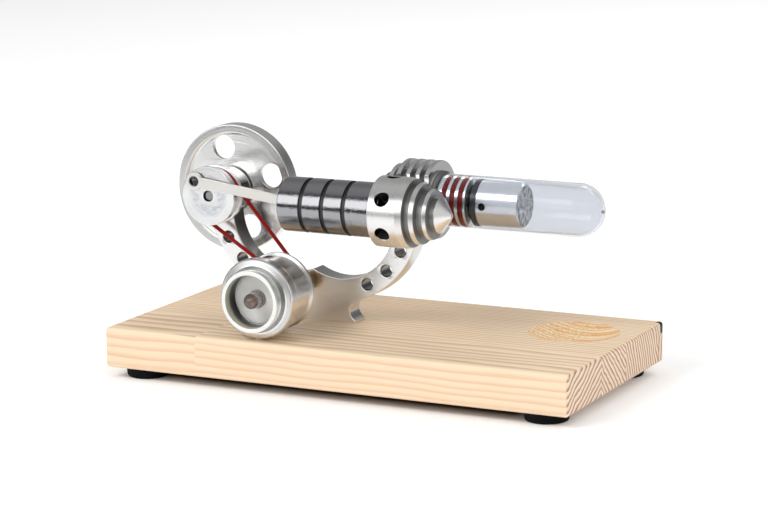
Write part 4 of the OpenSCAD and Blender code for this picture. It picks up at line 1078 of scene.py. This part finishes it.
def heatsink():
    """Fins on a root, a hub and a grooved stub, with the flat and the pad that sit on the plate."""
    hub_x, pitch, fin_t, fin_r = FRAME_X + 37.8, 3.3, 1.5, 12.6
    nose_x, nose_r, neck_r, root_r, hub_r = SINK_LOW[0], 3.4, 5.0, 8.5, 9.3
    shares = (0.62, 0.86, 1, 1, 1, 1)
    roots = (nose_r, neck_r, root_r, root_r, root_r, root_r, hub_r)
    step_x, shoulder_x, stub_r, stub_x, bush_r = hub_x + 1.3, hub_x + 2.1, 7.55, SINK_HIGH[0], 1.6
    first_groove, groove_pitch, groove_half, groove_r = hub_x + 4.45, 2.85, 0.85, 6.05
    bore_r, bore_x = 5.3, stub_x - 16
    pad_x, pad_y, pad_half = hub_x - 11.3, HOT_Y - 5.5, 6.9
    profile = [(bush_r, nose_x, 0.2), (nose_r, nose_x, 0.4)]
    for i, share in enumerate(shares):
        right = hub_x - (len(shares) - 1 - i) * pitch
        left = right - fin_t
        profile += [(roots[i], left, 0.15), (fin_r * share, left, 0.16),
                    (fin_r * share, right, 0.16), (roots[i + 1], right, 0.15)]
    profile += [(hub_r, step_x, 0.2), (stub_r, shoulder_x, 0.2)]
    for i in range(3):
        x = first_groove + i * groove_pitch
        profile += groove(stub_r, groove_r, x - groove_half, x + groove_half, foot=0.15)
    profile += [(stub_r, stub_x, 0.25), (bore_r, stub_x, 0.2), (bore_r, bore_x), (bush_r, bore_x)]
    lathe = (*HOT_AXIS, profile, True)
    obj = make_object("cooler", turned(*lathe, steps=192))
    back = PLATE_HIGH[1]
    flat = block((nose_x - 1, back - 20, AXIS_Z - 20), (step_x, back + 0.3, AXIS_Z + 20))
    pad = block((pad_x, back, AXIS_Z - pad_half), (hub_x, pad_y, AXIS_Z + pad_half))
    carve(obj, flat, lathe=lathe)
    carve(obj, pad, operation="UNION", lathe=lathe)
    # Painted shade: the hub's step towards the stub and the roots between the fins are darkened.
    painted_shades = [(0, fin_r + 1, hub_x + 0.3, shoulder_x + 0.1, 0.50),
              (0, root_r + 0.4, nose_x, hub_x - fin_t, 0.55)]
    paint = material("sink_turned", turned_metal, *HOT_AXIS, (0.78, 0.78, 0.775), 0.20, 0.008, 0.35, painted_shades)
    dress(obj, ["displacer_heatsink"], paint)


def seals():
    """Three rings of round section about the stub: radius ring_r + section cos v, place section sin v."""
    low, high = span("tube_seals")
    section = 0.8
    ring_r = (high[1] - low[1]) / 2 - section
    u = np.linspace(0, 2 * math.pi, 25)[:-1]
    shapes = []
    for x in (low[0] + section, (low[0] + high[0]) / 2, high[0] - section):
        profile = [(ring_r + section * math.cos(v), x + section * math.sin(v)) for v in u]
        shapes.append(turned(*HOT_AXIS, profile, closed=True, soft=0, steps=128))
    dress(make_object("seals", join(*shapes)), ["tube_seals"])


def glass():
    """The tube: an outer and an inner wall that both end in half a ball, with a fire-polished mouth."""
    x0, x1, r, wall, lip = GLASS_LOW[0], GLASS_HIGH[0], (GLASS_HIGH[1] - GLASS_LOW[1]) / 2, 0.8, 0.15
    inner_r, mouth = r - wall, x0 + 0.4
    a = np.linspace(0, math.pi / 2, 30)[:-1]
    inner = [(0, x1 - wall)]
    inner += [(inner_r * math.cos(v), x1 - r + inner_r * math.sin(v), 0) for v in a[::-1]]
    rim = [(inner_r, mouth, 0), (inner_r + lip, x0, 0), (r - lip, x0, 0), (r, mouth, 0)]
    outer = [(r * math.cos(v), x1 - r + r * math.sin(v), 0) for v in a] + [(0, x1)]
    turned_piece("glass", "glass_tube", HOT_AXIS, inner + rim + outer, soft=0, steps=160)


def displacer():
    """The bright can with its dull end, the dark plug and the rod."""
    low, high = span("displacer_can")
    x0, x1, r, wall, end_t, chamfer = low[0], high[0], (high[1] - low[1]) / 2, 0.4, 1.0, 0.7
    hole_r, hole_x = 1.2, x0 + 2.2
    profile = [(0, x1 - end_t), (r - wall, x1 - end_t, 0.1), (r - wall, x0, 0.1), (r, x0, 0.12),
               (r, x1 - chamfer, 0.3), (r - chamfer, x1, 0.3), (0, x1)]
    lathe = (*HOT_AXIS, profile)
    obj = make_object("can", turned(*lathe, steps=160))
    carve(obj, bar("y", (AXIS_Z, hole_x), HOT_Y - 2 * r, HOT_Y, hole_r, 40), lathe=lathe)
    dress(obj, ["displacer_can"], material("can_steel", can_metal, x1))
    low, high = span("displacer_plug")
    p0, p1, plug_r, bore, inner_r = low[0], high[0], (high[1] - low[1]) / 2, 1.52, r - 0.45
    profile = [(bore, p0, 0.1), (plug_r, p0, 0.25), (plug_r, x0, 0.2), (inner_r, x0, 0.1),
               (inner_r, p1, 0.1), (bore, p1)]
    turned_piece("plug", "displacer_plug", HOT_AXIS, profile, closed=True)
    rod_r = 1.5
    paint = material("rod_steel", turned_metal, *HOT_AXIS, STEEL, 0.14, 0.003)
    plain_bar("rod", "displacer_rod", HOT_AXIS, rod_r, (0.2, 0.2), paint)


# The generator

def generator():
    """Housing, bezel, rear cover, lamp holder, motor shaft and pulley, all turned about one axis."""
    face, back = HOUSING_LOW[1], HOUSING_HIGH[1]
    ring_r, lip_r, groove_r, mid_r, body_r = 12.8, 10.7, 11.0, 12.0, 11.7
    slope, shoulder, ring_y, groove_y, mid_y = 0.3, face + 0.7, face + 4.0, face + 5.5, face + 6.6
    seat_r, holder_r, wire_r, motor_r = 9.0, 8.0, 3.0, 9.5
    lamp_y, web_y, motor_y = face + 1.6, face + 3.1, face + 4.1
    # Painted shade: the inside and clamp hole, the groove, the front shoulder, the ring by the bezel and the
    # step behind the groove are darkened.
    painted_shades = [(0, body_r - 0.35, mid_y, back, 0.035),
              (0, groove_r + 0.6, ring_y, groove_y, 0.30),
              (body_r - 0.6, ring_r - 0.25, face - 0.1, face + 0.8, 0.78),
              (9.9, lip_r - 0.1, face - 0.1, face + 0.2, 0.40),
              (0, mid_r - 0.15, mid_y, mid_y + 0.5, 0.55)]
    metal = material("generator_turned", turned_metal, *GENERATOR_AXIS, ALUMINIUM, 0.22, 0.014, 0.3, painted_shades)
    profile = [(seat_r, face, 0.15), (lip_r, face, 0.3), (ring_r - slope, shoulder - slope, 0.8),
               (ring_r, shoulder + slope, 0.5), (ring_r, ring_y, 0.25), (groove_r, ring_y, 0.15),
               (groove_r, groove_y, 0.15), (mid_r, groove_y, 0.2), (mid_r, mid_y, 0.2),
               (body_r, mid_y, 0.1), (body_r, back, 0.15), (motor_r, back, 0.15), (motor_r, motor_y, 0.1),
               (wire_r, motor_y, 0.1), (wire_r, web_y, 0.1), (holder_r, web_y, 0.1),
               (holder_r, lamp_y, 0.1), (seat_r, lamp_y, 0.1)]
    lathe = (*GENERATOR_AXIS, profile, True)
    obj = make_object("housing", turned(*lathe, steps=192))
    hole_r, hole_lean = 1.55, math.radians(-7)
    hole = bar("z", (0, 0), seat_r, ring_r + 1, hole_r, 40)
    carve(obj, swing(hole, "y", hole_lean, (GEN_X, middle("motor_clamp_screw")[1], GEN_Z)), lathe=lathe)
    dress(obj, ["generator_housing"], metal)

    y0, r, inner_r, neck_r, neck_y = BEZEL_LOW[1], (BEZEL_HIGH[0] - BEZEL_LOW[0]) / 2, 8.4, 8.95, face + 1.5
    profile = [(inner_r, y0, 0.25), (r, y0, 0.35), (r, face, 0.1), (neck_r, face, 0.1),
               (neck_r, neck_y, 0.1), (inner_r, neck_y, 0.1)]
    turned_piece("bezel", "generator_bezel", GENERATOR_AXIS, profile,
                 material("bezel_turned", bezel_metal, y0, 0.012), closed=True, steps=192)

    low, high = span("generator_rear_cover")
    hole_r, spigot_in, spigot_out, cover_r = 3.1, 7.0, 9.4, 12.3
    profile = [(hole_r, back, 0.1), (spigot_in, back, 0.1), (spigot_in, low[1], 0.1),
               (spigot_out, low[1], 0.1), (spigot_out, back, 0.1), (cover_r, back, 0.2),
               (cover_r, high[1], 0.2), (hole_r, high[1], 0.15)]
    turned_piece("rear_cover", "generator_rear_cover", GENERATOR_AXIS, profile, metal,
                 closed=True, steps=192)

    disc_r, shaft_r = 7.85, 1.0
    plain_bar("holder", "led_holder", GENERATOR_AXIS, disc_r, (0.1, 0.1), steps=128)
    paint = material("rotor_steel", turned_metal, *GENERATOR_AXIS, STEEL, 0.18, 0.003)
    plain_bar("rotor_shaft", "motor_shaft", GENERATOR_AXIS, shaft_r, (0.15, 0.15), paint, steps=48)

    y0, y1, bore, rim_r, floor_r = PULLEY_LOW[1], PULLEY_HIGH[1], 1.02, 3.7, 1.95
    profile = [(bore, y0, 0.1), (rim_r, y0, 0.15)]
    profile += groove(rim_r, floor_r, BELT_Y - GROOVE_HALF, BELT_Y + GROOVE_HALF, GROOVE_LEAN)
    profile += [(rim_r, y1, 0.15), (bore, y1, 0.1)]
    paint = material("pulley_brass", turned_metal, *GENERATOR_AXIS, BRASS, 0.25, 0.006)
    turned_piece("pulley", "drive_pulley", GENERATOR_AXIS, profile, paint, closed=True, steps=96)


def lamp():
    """The lamp: a resin body with a round nose, and its lead frame and cup inside."""
    y0, y1, r, flange_r, flange_t = LAMP_LOW[1], LAMP_HIGH[1], 2.5, 2.9, 1.0
    step_y = y1 - flange_t
    a = np.linspace(0, math.pi / 2, 18)
    nose = [(r * math.sin(v), y0 + r - r * math.cos(v), 0) for v in a]
    profile = nose + [(r, step_y, 0.1), (flange_r, step_y, 0.15), (flange_r, y1, 0.1), (0, y1)]
    turned_piece("lamp", "led_lamp", GENERATOR_AXIS, profile, soft=0, steps=96)
    cup_r, lip_r, dip_r, cup_down, post_r, post_up = 0.9, 0.75, 0.25, 0.45, 0.35, 1.1
    cup_y, post_y, dip_y, foot_y = y1 - 2.7, y1 - 2.5, y1 - 2.0, y1 - 0.4
    cup = [(0, dip_y), (dip_r, dip_y), (lip_r, cup_y, 0.05), (cup_r, cup_y, 0.05),
           (cup_r, foot_y, 0.1), (0, foot_y)]
    post = [(0, post_y), (post_r, post_y, 0.05), (post_r, foot_y, 0.05), (0, foot_y)]
    shape = join(turned("y", (GEN_Z - cup_down, GEN_X), cup, steps=32),
                 turned("y", (GEN_Z + post_up, GEN_X), post, steps=24))
    obj = make_object("lamp_cup", shape)
    obj.data.materials.append(material("cup_metal", brushed_metal, "y", (0.35, 0.27, 0.23), 0.3, 0.004))
    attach(obj, "root")


# Camera, light and floor

def place_camera():
    """The camera at the photograph's view, worked out from the board's corners."""
    data = bpy.data.cameras.new("camera")
    camera = bpy.data.objects.new("camera", data)
    bpy.context.scene.collection.objects.link(camera)
    eye = Vector((380.3, -764.1, 210.1)) * MM
    aim = Vector((-19.4, 39.3, 30.0)) * MM
    roll, focal_px, frame_px, sensor = -0.62, 2732.4, 768, 36.0
    look = (aim - eye).to_track_quat("-Z", "Y").to_matrix().to_4x4()
    look.translation = eye
    camera.matrix_world = look
    camera.rotation_mode = "QUATERNION"
    camera.rotation_quaternion = look.to_quaternion() @ Quaternion((0, 0, 1), math.radians(roll))
    data.sensor_width = sensor
    data.lens = sensor * focal_px / frame_px
    data.clip_start, data.clip_end = 0.01, 20
    bpy.context.scene.camera = camera


def lamp_panel(name, place, size, power):
    """A broad lamp, in metres, that shines at the engine and that no mirror ray sees."""
    data = bpy.data.lights.new(name, "AREA")
    data.shape, data.size, data.size_y, data.energy = "RECTANGLE", size[0], size[1], power
    panel = bpy.data.objects.new(name, data)
    aim = Vector((0, 0, 0.04)) - Vector(place)
    panel.matrix_world = aim.to_track_quat("-Z", "Y").to_matrix().to_4x4()
    panel.location = place
    panel.visible_glossy = False
    bpy.context.scene.collection.objects.link(panel)


def studio():
    """The camera, a pale floor and soft light from a wide sky and three broad lamps."""
    place_camera()
    half = 3.0
    mesh = bpy.data.meshes.new("floor")
    mesh.from_pydata([(-half, -half, 0), (half, -half, 0), (half, half, 0), (-half, half, 0)],
                     [], [(0, 1, 2, 3)])
    floor = bpy.data.objects.new("floor", mesh)
    bpy.context.scene.collection.objects.link(floor)
    mesh.materials.append(material("floor_white", floor_paint))
    lamp_panel("key", (-0.55, -0.85, 0.95), (0.7, 0.5), 7.0)
    lamp_panel("fill", (0.9, -0.6, 0.7), (0.6, 0.6), 3.0)
    lamp_panel("back", (0.2, 1.0, 0.9), (0.9, 0.4), 4.0)
    world = bpy.data.worlds.new("studio")
    bpy.context.scene.world = world
    world.use_nodes = True
    studio_sky(Graph(world.node_tree))


def floor_paint(graph):
    """White floor that keeps the object's shadow.

    Mirror rays see it darken far out in front, on the right behind and ahead, and on the left. A brown
    band of painted shadow lies under the board's front edge, up to its right front foot.
    """
    seen, shiny = graph.mirror_rays()
    x, y = graph.split(graph.place())[:2]
    grain = graph.noise(graph.place(), 40.0, 2.0, 0.5)
    colour = graph.blend(grain, (0.97, 0.97, 0.975), (0.99, 0.99, 0.99))
    far = graph.ease(y, -390.0, -500.0)
    behind, ahead = graph.ease(y, 70.0, 150.0), graph.ease(y, -90.0, -150.0)
    right, left = graph.ease(x, -20.0, 60.0), graph.ease(x, -110.0, -180.0) * y.above(-90.0)
    colour = graph.blend(far * shiny, colour, (0.03, 0.03, 0.03))
    colour = graph.blend(behind * right * shiny * 0.60, colour, (0.02, 0.02, 0.02))
    colour = graph.blend(ahead * right * shiny * 0.80, colour, (0.05, 0.05, 0.05))
    colour = graph.blend(left * shiny * 0.75, colour, (0.05, 0.05, 0.05))
    # Painted shadow: a brown band on the floor under the board's front edge.
    painted_shadow = graph.ease(y, BOARD_LOW[1] + 3.0, BOARD_LOW[1] + 11.0)
    clear = graph.ease(x, BOARD_HIGH[0] - 22.0, BOARD_HIGH[0] - 8.0, 1.0, 0.0)
    painted_shadow = painted_shadow * clear * y.below(BOARD_HIGH[1]) * x.above(BOARD_LOW[0] + 6.0)
    colour = graph.blend(painted_shadow, colour, (0.16, 0.09, 0.06))
    diffuse = graph.node("ShaderNodeBsdfDiffuse", None, {"Color": colour})
    lift = (0.10 * seen + 0.06 * shiny * (1 - far)) * (1 - painted_shadow)
    glow = graph.node("ShaderNodeEmission", None, {"Color": graph.vector(lift, lift, lift), "Strength": 1.0})
    both = graph.node("ShaderNodeAddShader", None, {0: diffuse, 1: glow})
    mixed = graph.node("ShaderNodeMixShader", None, {0: seen + shiny, 1: diffuse, 2: both})
    graph.node("ShaderNodeOutputMaterial", None, {0: mixed})


def studio_sky(graph):
    """Even light for matt surfaces. Mirror rays see a pale backdrop, a dim ceiling and one broad soft light.

    The sky's tone depends on the angle in the plane across the board: 0 is the backdrop's foot, a half
    is overhead and 1 is the horizon behind the camera. Low down it darkens to the right and at both sides.
    """
    seen, shiny = graph.mirror_rays()
    x, y, z = graph.split(graph.node("ShaderNodeTexCoord", output=0))
    turn = graph.math("ARCTAN2", z, y) * (1 / math.pi)
    softbox = 2.2
    grey = [(0.0, 0.50), (0.05, 0.40), (0.12, 0.32), (0.30, 0.30), (0.45, 0.44), (0.62, 0.40), (0.70, 0.14),
            (0.735, 0.10), (0.755, softbox), (0.945, softbox), (0.96, 0.04), (1.0, 0.03)]
    bands = graph.grey_ramp(turn, [(place, tone / softbox) for place, tone in grey])
    low = graph.ease(z, 0.62, 0.45)
    right, behind = graph.ease(x, 0.02, 0.22), graph.ease(y, 0.0, 0.2)
    left, side = graph.ease(x, -0.62, -0.80), graph.ease(x, 0.66, 0.80)
    bands = graph.blend(right * behind * low * 0.62, bands, (0.01, 0.01, 0.01))
    bands = graph.blend(right * (1 - behind) * low * 0.93, bands, (0.08, 0.08, 0.08))
    bands = graph.blend(left * low * 0.70, bands, (0.04, 0.04, 0.04))
    bands = graph.blend(side * low * 0.8, bands, (0.36, 0.36, 0.36))
    plain = graph.node("ShaderNodeBackground", None, {"Color": (0.96, 0.97, 0.98, 1), "Strength": 1.0})
    light = graph.node("ShaderNodeBackground", None, {"Color": (1, 1, 1, 1), "Strength": 0.62})
    mirror = graph.node("ShaderNodeBackground", None, {"Color": bands, "Strength": softbox})
    first = graph.node("ShaderNodeMixShader", None, {0: shiny, 1: light, 2: mirror})
    both = graph.node("ShaderNodeMixShader", None, {0: seen, 1: first, 2: plain})
    graph.node("ShaderNodeOutputWorld", None, {0: both})


studio()
for node_name, node_object in frame["nodes"].items():
    node_object.data.materials.clear()
    node_object.data.materials.append(default_material(SLOT_OF[node_name]))
board()
feet()
frame_plate()
crankshaft()
crank_disc()
flywheel()
belt()
rods()
power_cylinder()
power_cap()
heatsink()
seals()
glass()
displacer()
generator()
lamp()

bpy.context.scene.view_settings.view_transform = "Standard"
